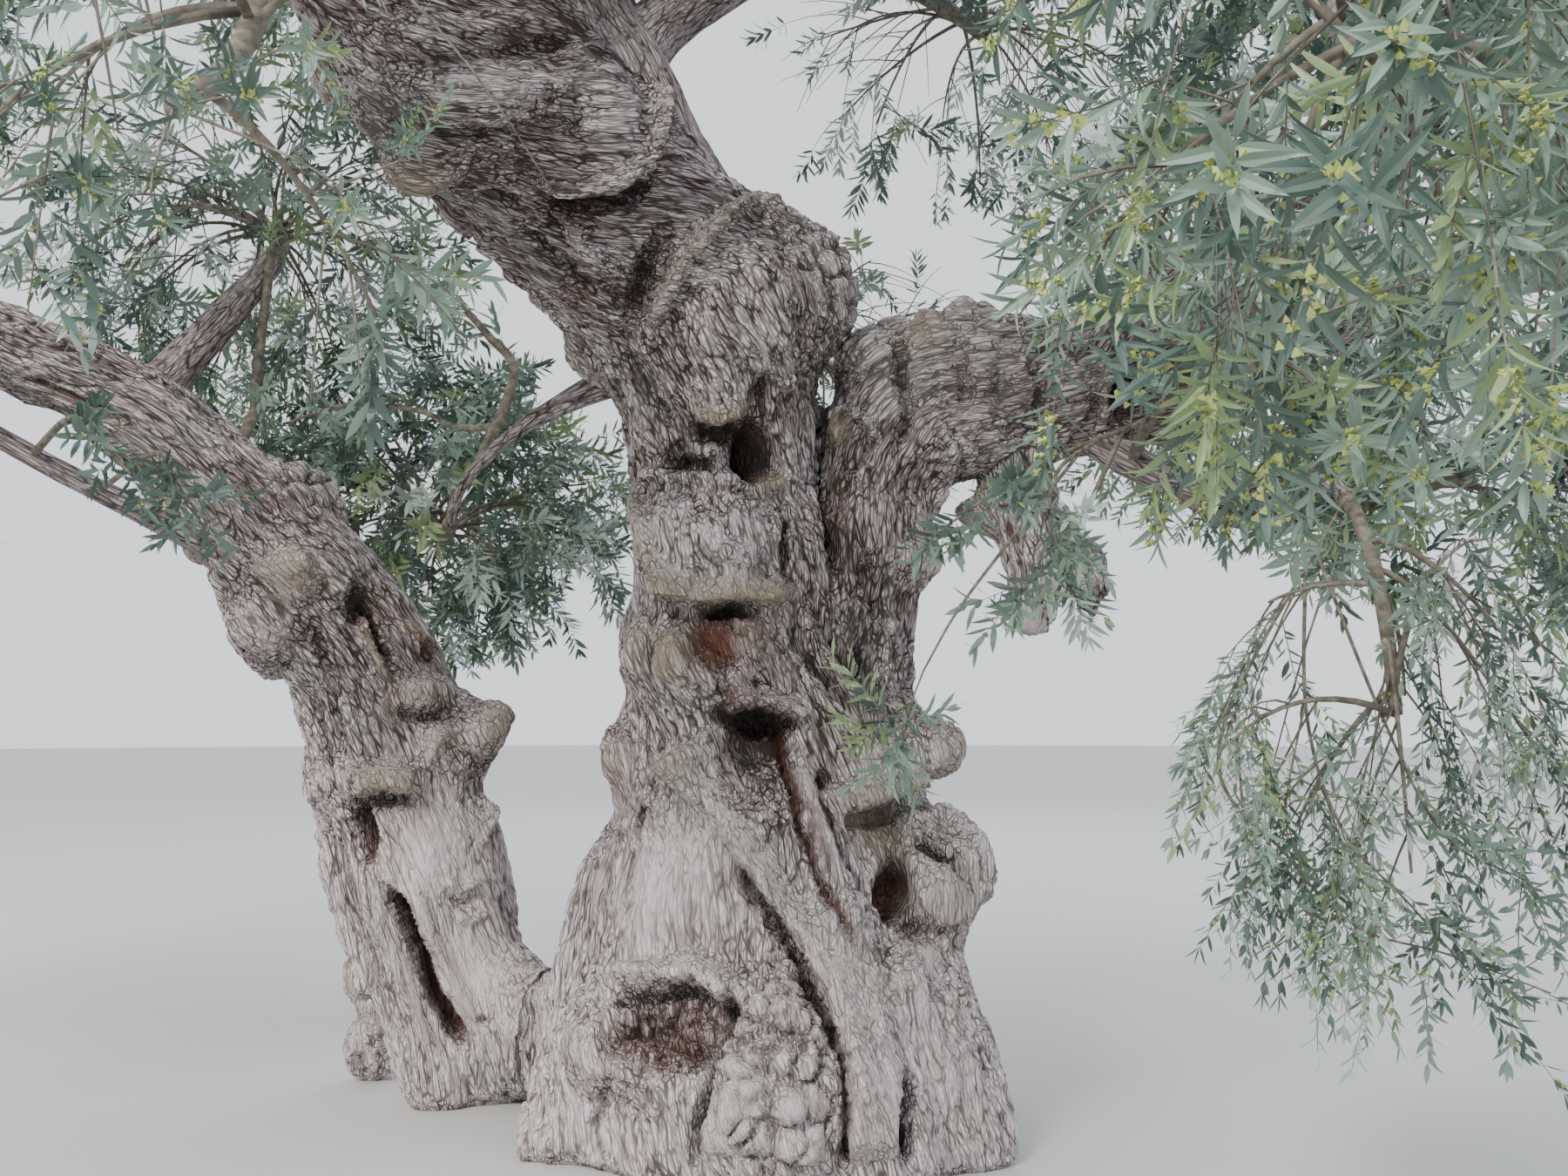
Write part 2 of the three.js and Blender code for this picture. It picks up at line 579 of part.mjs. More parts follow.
// Twigs fan out from the stem to places spread evenly over the space, and each bears leaves to either side.
function foliage(mass, index) {
  const random = randomFrom(index + 1);
  const bough = lines[mass.on];
  const tip = bough.path.getPoint(1);
  const along = bough.path.getTangent(1);
  const middle = point(mass.middle);
  const foot = tip.clone().addScaledVector(along, seatGap);
  const bend = foot.clone().addScaledVector(along, foot.distanceTo(middle) * 0.5);
  const stem = {
    path: new THREE.QuadraticBezierCurve3(foot, bend, middle),
    radius: (t) => THREE.MathUtils.lerp(bough.radius(1) * 0.85, twigRadius, t),
    across: acrossOf(bend.clone().sub(foot), middle.clone().sub(bend)),
  };
  const parts = [limbSolid(stem, 0, 1, 5, 3)];
  for (let i = 0; i < twigsInMass; i++) {
    const height = 1 - (2 * (i + 0.5)) / twigsInMass;
    const heading = i * goldenAngle + random() * 0.6;
    const ring = Math.sqrt(1 - height * height);
    const share = twigReach.least + twigReach.spread * random();
    const aim = new THREE.Vector3(Math.cos(heading) * ring, Math.sin(heading) * ring, height);
    aim.multiply(point(mass.reach)).multiplyScalar(share).add(middle);
    const start = stem.path.getPoint(twigStart.least + twigStart.spread * random());
    const arch = [0, 0, start.distanceTo(aim) * twigArch];
    const twig = archLine(start, aim, arch, [twigRadius, twigRadius * twigTaper]);
    const twigFree = [0.35, 0.5, 0.6, 0.7, 0.8, 0.9, 1].every((t) => isFree(mass, twig.path.getPoint(t)));
    if (!twigFree) continue;
    parts.push(limbSolid(twig, 0, 1, 3, 2));
    for (let j = 0; j < leavesOnTwig; j++) {
      const t = ((j + 1) / leavesOnTwig) * leafSeat;
      const place = twig.path.getPoint(t);
      const direction = twig.path.getTangent(t);
      const lean = j === leavesOnTwig - 1 ? leafLean.last : leafLean.others;
      const turn = (i + j) * goldenAngle * 2 + random();
      const sideways = twig.across.clone().applyAxisAngle(direction, turn);
      direction.addScaledVector(sideways, lean).normalize();
      const leaf = [place, direction, (random() - 0.5) * Math.PI, leafSize.least + leafSize.spread * random()];
      if (leafIsFree(mass, ...leaf)) parts.push(leafSolid(...leaf));
    }
  }
  return soundBody(union(parts).simplify(sliver));
}

Object.entries(masses).forEach(([name, mass], index) => {
  group.add(meshOf(foliage(mass, index), `foliage_${name}`, leafFinish));
});

export default group;
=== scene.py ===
import math

import bmesh
import bpy
import numpy as np
from mathutils import Matrix, Vector
from mathutils.bvhtree import BVHTree


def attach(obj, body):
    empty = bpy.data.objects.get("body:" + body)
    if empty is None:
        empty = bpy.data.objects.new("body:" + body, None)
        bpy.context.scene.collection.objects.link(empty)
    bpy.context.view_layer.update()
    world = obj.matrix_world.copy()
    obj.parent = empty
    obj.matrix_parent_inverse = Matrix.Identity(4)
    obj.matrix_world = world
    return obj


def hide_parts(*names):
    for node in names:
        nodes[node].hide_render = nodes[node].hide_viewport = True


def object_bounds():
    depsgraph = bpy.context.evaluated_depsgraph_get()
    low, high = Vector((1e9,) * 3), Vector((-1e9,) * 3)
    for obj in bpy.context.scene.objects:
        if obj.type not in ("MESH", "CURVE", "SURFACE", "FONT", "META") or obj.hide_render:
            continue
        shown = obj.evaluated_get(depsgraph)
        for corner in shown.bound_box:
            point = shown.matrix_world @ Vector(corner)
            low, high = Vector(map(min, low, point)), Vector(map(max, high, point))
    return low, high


# An old olive tree. Lengths are metres. +X is to the right of a viewer in front of the tree and +Y away.
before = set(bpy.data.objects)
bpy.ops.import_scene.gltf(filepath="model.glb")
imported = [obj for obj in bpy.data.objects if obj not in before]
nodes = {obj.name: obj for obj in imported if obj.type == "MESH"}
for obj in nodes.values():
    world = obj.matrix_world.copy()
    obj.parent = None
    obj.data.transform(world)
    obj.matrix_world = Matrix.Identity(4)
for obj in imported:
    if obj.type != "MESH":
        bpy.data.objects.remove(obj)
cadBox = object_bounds()
massCount = sum(name.startswith("foliage_") for name in nodes)
print("frame loaded:", len(nodes) - massCount, "limbs and", massCount, "masses")


# Camera: eye height, level ground, a little upwards. The horizon lies at a row of the picture's pixels.
view = {
    "place": (0.06, -5.6, 1.5),
    "lens": 35.0,
    "sensor": 36.0,
    "clip": (0.05, 200),
    "picture": (1800, 1350),
    "horizon": 820,
}
pixelsToLens = view["picture"][0] * view["lens"] / view["sensor"]
pitch = math.atan((view["horizon"] - view["picture"][1] / 2) / pixelsToLens)
cameraPlace = Vector(view["place"])


# A new object in the scene
def addObject(name, data):
    piece = bpy.data.objects.new(name, data)
    bpy.context.scene.collection.objects.link(piece)
    return piece


def makeCamera():
    data = bpy.data.cameras.new("camera")
    data.lens = view["lens"]
    data.sensor_width = view["sensor"]
    data.clip_start, data.clip_end = view["clip"]
    camera = addObject("camera", data)
    camera.location = view["place"]
    camera.rotation_euler = (math.pi / 2 + pitch, 0, 0)
    bpy.context.scene.camera = camera


def unit(vector):
    return vector / np.linalg.norm(vector)


# The direction from the camera through a pixel of the picture
def sightLine(pixel):
    across = (pixel[0] - view["picture"][0] / 2) / pixelsToLens
    upward = (view["picture"][1] / 2 - pixel[1]) / pixelsToLens
    forward = Vector((0, math.cos(pitch), math.sin(pitch)))
    above = Vector((0, -math.sin(pitch), math.cos(pitch)))
    return (forward + above * upward + Vector((1, 0, 0)) * across).normalized()


# The place that a pixel shows where the depth into the picture is y
def placeAt(pixel, y):
    ray = sightLine(pixel)
    return cameraPlace + ray * ((y - view["place"][1]) / ray.y)


makeCamera()


# Materials

def linear(colour):
    parts = [int(colour[i:i + 2], 16) / 255 for i in (1, 3, 5)]
    return tuple(p / 12.92 if p < 0.04045 else ((p + 0.055) / 1.055) ** 2.4 for p in parts) + (1.0,)


# Adds a node with its settings. Each input that is given takes a value or another node's output.
def addNode(tree, kind, inputs=None, **settings):
    node = tree.nodes.new(kind)
    for name, value in settings.items():
        setattr(node, name, value)
    for key, value in (inputs or {}).items():
        if isinstance(value, bpy.types.NodeSocket):
            tree.links.new(value, node.inputs[key])
        else:
            node.inputs[key].default_value = value
    return node


def newMaterial(name):
    material = bpy.data.materials.new(name)
    material.use_nodes = True
    material.node_tree.nodes.clear()
    return material, material.node_tree


# Ends a material's tree with a shader that takes these inputs
def addShader(tree, colour, roughness, gleam=0.5, **more):
    inputs = {"Base Color": colour, "Roughness": roughness, "Specular IOR Level": gleam, **more}
    shader = addNode(tree, "ShaderNodeBsdfPrincipled", inputs)
    addNode(tree, "ShaderNodeOutputMaterial", {"Surface": shader.outputs["BSDF"]})


def colourRamp(tree, source, stops):
    ramp = addNode(tree, "ShaderNodeValToRGB", {"Fac": source})
    elements = ramp.color_ramp.elements
    while len(elements) < len(stops):
        elements.new(0.5)
    for element, (position, colour) in zip(elements, stops):
        element.position = position
        element.color = linear(colour)
    return ramp.outputs["Color"]


def mixColour(tree, factor, first, second):
    inputs = {0: factor, 6: first, 7: second}
    return addNode(tree, "ShaderNodeMix", inputs, data_type="RGBA", clamp_factor=True).outputs[2]


def objectPlace(tree):
    return addNode(tree, "ShaderNodeTexCoord").outputs["Object"]


def noiseOf(tree, vector, scale, detail, roughness=0.5, output="Fac"):
    inputs = {"Vector": vector, "Scale": scale, "Detail": detail, "Roughness": roughness}
    return addNode(tree, "ShaderNodeTexNoise", inputs).outputs[output]


# Old olive bark: dry grey cork over a fibrous layer, split along the grain into interlaced plates a finger's
# width across. The plates' faces are weathered pale, and their splits are painted dark as the shade in them.
# Where the bark has gone, the wood shows tan to rust brown.
bark = {
    # from the floor of a split, painted dark as shade, to a worn face
    "cork": [(0.10, "#2f2726"), (0.38, "#716667"), (0.66, "#a5999a"), (1.0, "#dfd5d6")],
    "warm": "#7d6456",
    "moss": "#83867a",
    "smooth": ("#7d6d55", "#a8967f"),  # two tones of fibre, where the bark has healed
    "pale": ("#857b76", "#cdc3c3"),  # the same where it is bleached
    "rust": ("#3b2218", "#7b4d3d"),  # and where the inner wood is bare
    "roughness": 0.93,
    "gleam": 0.2,
    "plate": 0.024,  # width of a plate of bark, metres
    "sliver": 0.012,  # width of the slivers that a plate splits into
    "length": 6.8,  # how many widths long both are
    "waver": 1.2,  # how many widths the splits wander
    "plateSplit": 0.125,  # how wide the splits are, as a share of a plate
    "sliverSplit": 0.18,
    "splitDepth": 0.008,
    "fibre": 0.004,
    "patches": 2.6,  # patches of a warmer or mossier tone to a metre
    "whole": 0.72,  # the height that healed and bleached wood has all over
}


def barkMaterial():
    material, tree = newMaterial("olive bark")

    def attribute(name, output="Fac"):
        return addNode(tree, "ShaderNodeAttribute", attribute_name=name).outputs[output]

    def edge(vector, width):
        inputs = {"Vector": vector, "Scale": 1 / width}
        return addNode(tree, "ShaderNodeTexVoronoi", inputs, feature="DISTANCE_TO_EDGE").outputs["Distance"]

    def ranged(value, low, high, first=0.0, last=1.0, curve="LINEAR"):
        inputs = {"Value": value, "From Min": low, "From Max": high, "To Min": first, "To Max": last}
        return addNode(tree, "ShaderNodeMapRange", inputs, interpolation_type=curve).outputs["Result"]

    def worked(operation, *values):
        return addNode(tree, "ShaderNodeMath", dict(enumerate(values)), operation=operation).outputs[0]

    def bumped(height, strength, depth, **under):
        inputs = {"Height": height, "Strength": strength, "Distance": depth, **under}
        return addNode(tree, "ShaderNodeBump", inputs).outputs["Normal"]

    def fibred(name):
        dark, pale = bark[name]
        return mixColour(tree, fibre, linear(dark), linear(pale))

    # The pattern's own space is shortened along the grain, so that what is round in it comes out long.
    squeeze = {"Vector": attribute("grain", "Vector"), "Scale": (1, 1, 1 / bark["length"])}
    along = addNode(tree, "ShaderNodeMapping", squeeze).outputs["Vector"]
    wander = noiseOf(tree, along, 0.4 / bark["plate"], 2.0, output="Color")
    bend = {0: wander, 1: (bark["plate"] * bark["waver"],) * 3, 2: along}
    bent = addNode(tree, "ShaderNodeVectorMath", bend, operation="MULTIPLY_ADD").outputs["Vector"]
    # A split fades out along its run where this noise is high, so the plates hang together.
    bridge = ranged(noiseOf(tree, bent, 0.8 / bark["plate"], 1.0), 0.46, 0.66, 0.0, 0.85)
    plates = ranged(edge(bent, bark["plate"]), 0.0, bark["plateSplit"], bridge, 1.0, "SMOOTHSTEP")
    slivers = ranged(edge(bent, bark["sliver"]), 0.0, bark["sliverSplit"], 0.45)
    split = worked("MULTIPLY", plates, slivers)
    fibre = noiseOf(tree, along, 0.5 / bark["fibre"], 3.0, 0.65)
    shade = noiseOf(tree, along, 0.5 / bark["plate"], 3.0)
    patches = noiseOf(tree, objectPlace(tree), bark["patches"], 3.0, 0.6)
    healing = {0: attribute("calm"), 2: split, 3: bark["whole"]}
    whole = addNode(tree, "ShaderNodeMix", healing, data_type="FLOAT").outputs[0]
    # Height of the surface from its deepest split to the plates' faces, then the form's own relief and light.
    # Lower comes out darker in the ramp: painted shade in splits and hollows, and painted light and shade
    # from the light attribute.
    level = worked("MULTIPLY_ADD", whole, 0.78, -0.62)
    level = worked("MULTIPLY_ADD", fibre, 0.22, level)
    level = worked("MULTIPLY_ADD", shade, 0.55, level)
    level = worked("ADD", attribute("relief"), worked("SUBTRACT", level, 0.255))
    level = worked("MULTIPLY_ADD", attribute("light"), 0.28, level)
    cork = colourRamp(tree, level, bark["cork"])
    warmed = mixColour(tree, ranged(patches, 0.45, 0.70, 0.0, 0.25), cork, linear(bark["warm"]))
    aged = mixColour(tree, ranged(patches, 0.55, 0.35, 0.0, 0.3), warmed, linear(bark["moss"]))
    healed = mixColour(tree, attribute("smooth"), aged, fibred("smooth"))
    faded = mixColour(tree, worked("MULTIPLY", attribute("pale"), 0.6), healed, fibred("pale"))
    bare = mixColour(tree, attribute("rust"), faded, fibred("rust"))
    splits = bumped(whole, 1.0, bark["splitDepth"])
    fibres = bumped(fibre, 0.3, bark["fibre"], Normal=splits)
    addShader(tree, bare, bark["roughness"], bark["gleam"], Normal=fibres)
    return material


# Young shoots: thin smooth bark, grey over green
twig = {"spots": 30.0, "tones": [(0.3, "#4d473f"), (0.55, "#736c60"), (0.75, "#928b7d")], "roughness": 0.8}


def twigMaterial():
    material, tree = newMaterial("olive twig bark")
    spots = noiseOf(tree, objectPlace(tree), twig["spots"], 3.0)
    addShader(tree, colourRamp(tree, spots, twig["tones"]), twig["roughness"])
    return material


# Olive leaves are leathery: a waxy grey-green face over a felted silver back. The wax gives a soft satin
# gleam. The flower buds are small waxy beads in the leaf corners, yellow-green before they open. The floor is
# pale matt plaster.
plainFinishes = {
    # name, colour, roughness, gleam
    "dark": ("olive leaf dark", "#566b62", 0.45, 0.4),
    "middle": ("olive leaf middle", "#7e9486", 0.45, 0.4),
    "silver": ("olive leaf silver", "#b3c1b8", 0.62, 0.4),
    "young": ("olive leaf young", "#889c72", 0.45, 0.4),
    "bud": ("olive flower buds", "#a7b268", 0.55, 0.5),
    "floor": ("pale floor plaster", "#cdcdca", 0.95, 0.5),
}


def plainMaterial(name, colour, roughness, gleam):
    material, tree = newMaterial(name)
    addShader(tree, linear(colour), roughness, gleam)
    return material


materials = {key: plainMaterial(*finish) for key, finish in plainFinishes.items()}
materials.update(bark=barkMaterial(), twig=twigMaterial())
print("materials made:", len(materials))


# Lines of the limbs: the same stations and boughs that the solids follow, in millimetres. A station is x, y,
# z and the limb's radius. A bough is the limb that it leaves, the share of that limb's line where it does,
# its tip, how far its line arches, and its first and last radius.

upperStations = [
    (-120, -20, 1500, 300), (-165, -50, 2060, 315), (-170, -90, 2390, 325), (-200, -130, 2690, 350),
    (-340, -220, 3010, 370), (-560, -370, 3260, 370), (-780, -570, 3470, 385), (-1000, -780, 3660, 390),
    (-1180, -960, 3880, 340),
]
trunkFootStations = [
    (-20, 0, -100, 700), (-50, 0, 250, 640), (-60, 0, 560, 590), (-40, 0, 860, 560), (10, 0, 1160, 525),
]
rightStations = [
    (230, 0, 1500, 220), (340, 0, 1980, 225), (390, 0, 2340, 235), (560, 0, 2600, 262), (880, 0, 2680, 255),
    (1350, 80, 2730, 215), (1840, 180, 2880, 180), (2200, 320, 3220, 135),
]
secondStations = [
    (-1290, 580, 560, 270), (-1420, 560, 980, 285), (-1480, 540, 1350, 295), (-1620, 500, 1720, 280),
    (-1830, 450, 2000, 270), (-2060, 390, 2270, 235), (-2330, 300, 2560, 205), (-2680, 180, 2790, 172),
    (-3150, 30, 3000, 145), (-3650, -250, 3150, 105),
]
secondFootStations = [(-1240, 590, -60, 300)]
boughs = {
    "rear_bough": ("upper", 0.43, (-760, 260, 4350), (200, 200, 0), (235, 150)),
    "crown_top_bough": ("upper", 0.93, (-700, -500, 5150), (-260, -100, 100), (170, 75)),
    "upper_left_bough": ("upper", 0.97, (-2050, -950, 4500), (0, 0, 160), (175, 80)),
    "front_left_bough": ("upper", 0.99, (-1450, -2250, 3900), (0, 0, 330), (160, 70)),
    "front_top_bough": ("upper", 0.9, (150, -1850, 4500), (0, 0, 220), (150, 70)),
    "near_left_bough": ("front_left_bough", 0.72, (-1000, -2600, 3150), (60, -140, 200), (55, 32)),
    "rear_left_bough": ("rear_bough", 0.9, (-1450, 1250, 4750), (0, 0, 120), (120, 65)),
    "rear_right_bough": ("rear_bough", 0.8, (700, 1500, 5000), (0, 0, 600), (120, 65)),
    "rear_mid_bough": ("rear_bough", 0.6, (50, 2400, 3650), (-100, 0, 450), (115, 60)),
    "top_right_bough": ("rear_bough", 0.97, (650, -150, 5150), (-150, 0, 350), (110, 60)),
    "right_top_bough": ("right", 0.99, (2550, 430, 4150), (80, 0, 0), (105, 60)),
    "right_end_bough": ("right", 0.87, (3400, 150, 3250), (0, 0, 120), (110, 60)),
    "rear_right_low_bough": ("right", 0.72, (2150, 1600, 3350), (-100, 0, 230), (110, 58)),
    "right_front_bough": ("right", 0.78, (2250, -1350, 3450), (0, 0, 260), (110, 60)),
    "right_mid_bough": ("right", 0.66, (1450, -700, 3050), (0, 0, 120), (85, 50)),
    "right_low_branch": ("right", 0.62, (2000, -330, 2230), (-60, 60, -260), (68, 44)),
    "near_right_bough": ("right_front_bough", 0.62, (1250, -2500, 3000), (60, 0, 360), (62, 36)),
    "weeping_branch": ("right_low_branch", 0.72, (1750, -1050, 2150), (60, 0, 160), (36, 24)),
    "left_top_bough": ("left", 0.88, (-3700, 120, 3800), (100, 0, 60), (110, 60)),
    "left_rear_bough": ("left", 0.72, (-2230, 1050, 3500), (60, 0, 0), (90, 52)),
    "left_low_branch": ("left", 0.45, (-3000, -280, 2650), (-30, -70, -70), (68, 42)),
    "side_branch": ("upper", 0.42, (-1420, 1100, 2330), (-340, -340, 60), (64, 36)),
    "pale_spur": ("rear_bough", 0.5, (90, 600, 3480), (40, 80, 90), (62, 50)),
    "pruned_stub": ("right", 0.56, (950, -90, 1800), (90, 0, 0), (130, 85)),
    "pruned_prong": ("pruned_stub", 0.5, (1200, 20, 1890), (60, 0, 60), (100, 80)),
}


# A smooth line through stations, like the solids' own, as points and radii in metres
def stationLine(stations, steps=12):
    given = np.array(stations, float) / 1000
    points = np.vstack([2 * given[0] - given[1], given, 2 * given[-1] - given[-2]])
    found = []
    for i in range(1, len(points) - 2):
        p0, p1, p2, p3 = points[i - 1:i + 3]
        for t in np.linspace(0, 1, steps, endpoint=False):
            found.append(0.5 * (2 * p1 + (p2 - p0) * t + (2 * p0 - 5 * p1 + 4 * p2 - p3) * t ** 2
                                + (3 * p1 - p0 - 3 * p2 + p3) * t ** 3))
    found.append(given[-1])
    return np.array(found)


def archLine(start, tip, arch, radii, steps=16):
    start, tip = np.array(start), np.array(tip)
    control = (start + tip) / 2 + np.array(arch)
    t = np.linspace(0, 1, steps + 1)[:, None]
    points = (1 - t) ** 2 * start + 2 * t * (1 - t) * control + t ** 2 * tip
    return np.hstack([points, radii[0] + (radii[1] - radii[0]) * t])


# The step of a line that a share of its length lies in, the place there and the line's direction
def stepAt(line, share):
    return min(int(share * (len(line) - 1)), len(line) - 2)


def lineAt(line, share):
    i = stepAt(line, share)
    return line[i] + (line[i + 1] - line[i]) * (share * (len(line) - 1) - i)


def headingAt(line, share):
    i = stepAt(line, share)
    return unit(line[i + 1] - line[i])


lines = {
    "upper": stationLine(upperStations),
    "right": stationLine(rightStations),
    "left": stationLine(secondStations),
}
for name, (parent, at, tip, arch, radii) in boughs.items():
    start = lineAt(lines[parent], at)[:3]
    lines[name] = archLine(start, np.array(tip) / 1000, np.array(arch) / 1000, np.array(radii) / 1000)
print("lines laid:", len(lines))


# Noise on many places at once

tableSize = 4096


# Which random numbers of a table the corners of the lattice take
def entry(i, j, k):
    return (i * 1619 + j * 31337 + k * 6971) & (tableSize - 1)


class Noise:
    def __init__(self, seed):
        self.table = np.random.default_rng(seed).random(tableSize)

    # Smooth noise from 0 to 1
    def __call__(self, places):
        base = np.floor(places).astype(np.int64)
        f = places - base
        f = f * f * (3 - 2 * f)
        i, j, k = base.T
        u, v, w = f.T
        total = 0
        for di, dj, dk in np.ndindex(2, 2, 2):
            weight = (u if di else 1 - u) * (v if dj else 1 - v) * (w if dk else 1 - w)
            total = total + weight * self.table[entry(i + di, j + dj, k + dk)]
        return total

    def layered(self, places, layers):
        total, size, most = 0, 1.0, 0
        for layer in range(layers):
            total = total + size * self(places * 2 ** layer + layer * 17.3)
            most += size
            size /= 2
        return total / most


# Distances to the nearest and the second nearest of seeded points, one in each lattice cell
def cells(places, seed):
    table = np.random.default_rng(seed).random((tableSize, 3))
    base = np.floor(places).astype(np.int64)
    nearest = np.full(len(places), 9.0)
    second = np.full(len(places), 9.0)
    for shift in np.ndindex(3, 3, 3):
        cell = base + shift - 1
        centre = cell + table[entry(*cell.T)]
        distance = np.sqrt(((places - centre) ** 2).sum(axis=1))
        closer = distance < nearest
        second = np.where(closer, nearest, np.minimum(second, distance))
        nearest = np.where(closer, distance, nearest)
    return nearest, second


def smoothStep(values, low, high):
    t = np.clip((values - low) / (high - low), 0, 1)
    return t * t * (3 - 2 * t)


# Limb coordinates: the bark's pattern runs along the limbs, so each place on the bark gets a place across its
# limb and a length along it. The frames along a line turn only as far as the line bends.

def limbFrames(line, first=(1, 0, 0)):
    points = line[:, :3]
    along = np.gradient(points, axis=0)
    along /= np.linalg.norm(along, axis=1)[:, None]
    side = np.zeros_like(points)
    current = np.array(first, float)
    for i, direction in enumerate(along):
        current = unit(current - direction * (current @ direction))
        side[i] = current
    other = np.cross(along, side)
    length = np.concatenate([[0], np.cumsum(np.linalg.norm(np.diff(points, axis=0), axis=1))])
    return {
        "points": points, "radii": line[:, 3], "along": along, "side": side, "other": other, "length": length,
    }


# The place across and along a limb, and how many radii away its line is
def limbPlace(places, limb):
    across = np.zeros((len(places), 3))
    away = np.zeros(len(places))
    handful = 40000  # places at a time
    for start in range(0, len(places), handful):
        rows = slice(start, start + handful)
        gaps = ((places[rows, None, :] - limb["points"][None]) ** 2).sum(axis=2)
        near = gaps.argmin(axis=1)
        offset = places[rows] - limb["points"][near]
        across[rows, 0] = (offset * limb["side"][near]).sum(axis=1)
        across[rows, 1] = (offset * limb["other"][near]).sum(axis=1)
        across[rows, 2] = limb["length"][near] + (offset * limb["along"][near]).sum(axis=1)
        away[rows] = np.sqrt(gaps.min(axis=1)) / limb["radii"][near]
    return across, away


trunkLine = np.vstack([stationLine(trunkFootStations + upperStations[:2], 12)[:-1], lines["upper"][12:]])


# A line with its bends evened out, so that the bark's pattern has no jumps inside them
def evened(line, reach=14):
    padded = np.vstack([np.repeat(line[:1], reach, 0), line, np.repeat(line[-1:], reach, 0)])
    weights = np.hanning(2 * reach + 3)[1:-1]
    weights /= weights.sum()
    smooth = np.stack([np.convolve(padded[:, i], weights, "valid") for i in range(4)], axis=1)
    share = np.minimum(1, np.minimum(np.arange(len(line)), np.arange(len(line))[::-1]) / reach)[:, None]
    return line * (1 - share) + smooth * share


thickLimbs = {
    "upper": limbFrames(evened(trunkLine)),
    "right": limbFrames(lines["right"]),
    "left": limbFrames(evened(stationLine(secondFootStations + secondStations))),
    "pruned_stub": limbFrames(lines["pruned_stub"], (0, 0, 1)),
    "pruned_prong": limbFrames(lines["pruned_prong"], (0, 0, 1)),
}
# The right stem's pattern goes on from the trunk's where it leaves it.
rightOffset = limbPlace(lines["right"][:1, :3], thickLimbs["upper"])[0][0]


# Skin: the thick limbs' solids, joined into one body without steps, then divided finely enough to carve

skin = {
    "voxel": 0.046,
    "smoothing": 9,
    "divisions": 2,
    "twist": 0.3,  # radians of spiral grain for each metre
    "swirlFrom": 3.15,  # length up the trunk where the grain begins to swirl round
    "swirl": 1.7,
    "sway": 0.05,  # how far the grain wanders sideways
    "lobes": (0.030, 2.6, 0.42),  # height, how many to a metre, and how much fewer along the grain
    "flutes": (0.030, (7, 7, 1.5)),  # height, and how many to a metre across and along the grain
    "lumps": (0.009, (17, 17, 9)),
    "furrows": (0.011, (24, 24, 3.6)),
    "crackWidths": (0.02, 0.36),  # of the cracks between furrows, as shares of a furrow's width
    "grit": (0.004, (60, 60, 12)),
    "rightFrom": 1.5,  # the right stem is one with the trunk below this height
}
thickNodes = [
    "main_trunk", "second_trunk", "upper_bough", "right_bough", "left_bough", "pruned_stub", "pruned_prong",
]


# The mesh that an object's modifiers make
def finished(piece):
    bpy.context.view_layer.update()
    evaluated = piece.evaluated_get(bpy.context.evaluated_depsgraph_get())
    return bpy.data.meshes.new_from_object(evaluated)


def skinBase():
    work = bmesh.new()
    for nodeName in thickNodes:
        work.from_mesh(nodes[nodeName].data)
    bmesh.ops.remove_doubles(work, verts=work.verts, dist=0.00001)
    joined = bpy.data.meshes.new("skin base")
    work.to_mesh(joined)
    work.free()
    piece = addObject("skin base", joined)
    remesh = piece.modifiers.new("join", "REMESH")
    remesh.mode = "VOXEL"
    remesh.voxel_size = skin["voxel"]
    smooth = piece.modifiers.new("smooth", "SMOOTH")
    smooth.factor = 0.5
    smooth.iterations = skin["smoothing"]
    divide = piece.modifiers.new("divide", "SUBSURF")
    divide.levels = divide.render_levels = skin["divisions"]
    mesh = finished(piece)
    bpy.data.objects.remove(piece)
    return mesh


def meshArrays(mesh):
    places = np.zeros(len(mesh.vertices) * 3)
    mesh.vertices.foreach_get("co", places)
    corners = np.zeros(len(mesh.loops), np.int32)
    mesh.loops.foreach_get("vertex_index", corners)
    starts = np.zeros(len(mesh.polygons), np.int32)
    mesh.polygons.foreach_get("loop_start", starts)
    return places.reshape(-1, 3), corners.reshape(-1, 4), starts


# Smooth normals of a mesh of four-sided faces
def quadNormals(places, quads):
    a, b, c, d = (places[quads[:, i]] for i in range(4))
    faceNormals = np.cross(c - a, d - b)
    normals = np.zeros_like(places)
    for i in range(4):
        for axis in range(3):
            normals[:, axis] += np.bincount(quads[:, i], faceNormals[:, axis], len(places))
    return normals / np.maximum(np.linalg.norm(normals, axis=1), 1e-12)[:, None]


baseMesh = skinBase()
places, quads, starts = meshArrays(baseMesh)
normals = quadNormals(places, quads)
baseTree = BVHTree.FromPolygons(places.tolist(), quads.tolist())
print("skin divided:", len(places), "vertices")

# Which limb each place belongs to
limbNames = list(thickLimbs)
nearestAway = np.full(len(places), 99.0)
limbOf = np.zeros(len(places), int)
for index, name in enumerate(limbNames):
    away = limbPlace(places, thickLimbs[name])[1]
    if name == "right":
        away = away + np.where(places[:, 2] < skin["rightFrom"], 9, 0)
    limbOf[away < nearestAway] = index
    nearestAway = np.minimum(nearestAway, away)
noise = Noise(5)


# Noise in three directions, from -0.5 to 0.5
def drift(where, scale, seeds, layers=1):
    return np.stack([noise.layered(where * scale + seed, layers) - 0.5 for seed in seeds], axis=1)


sway = drift(places, 2.2, (0, 31, 62), 2)


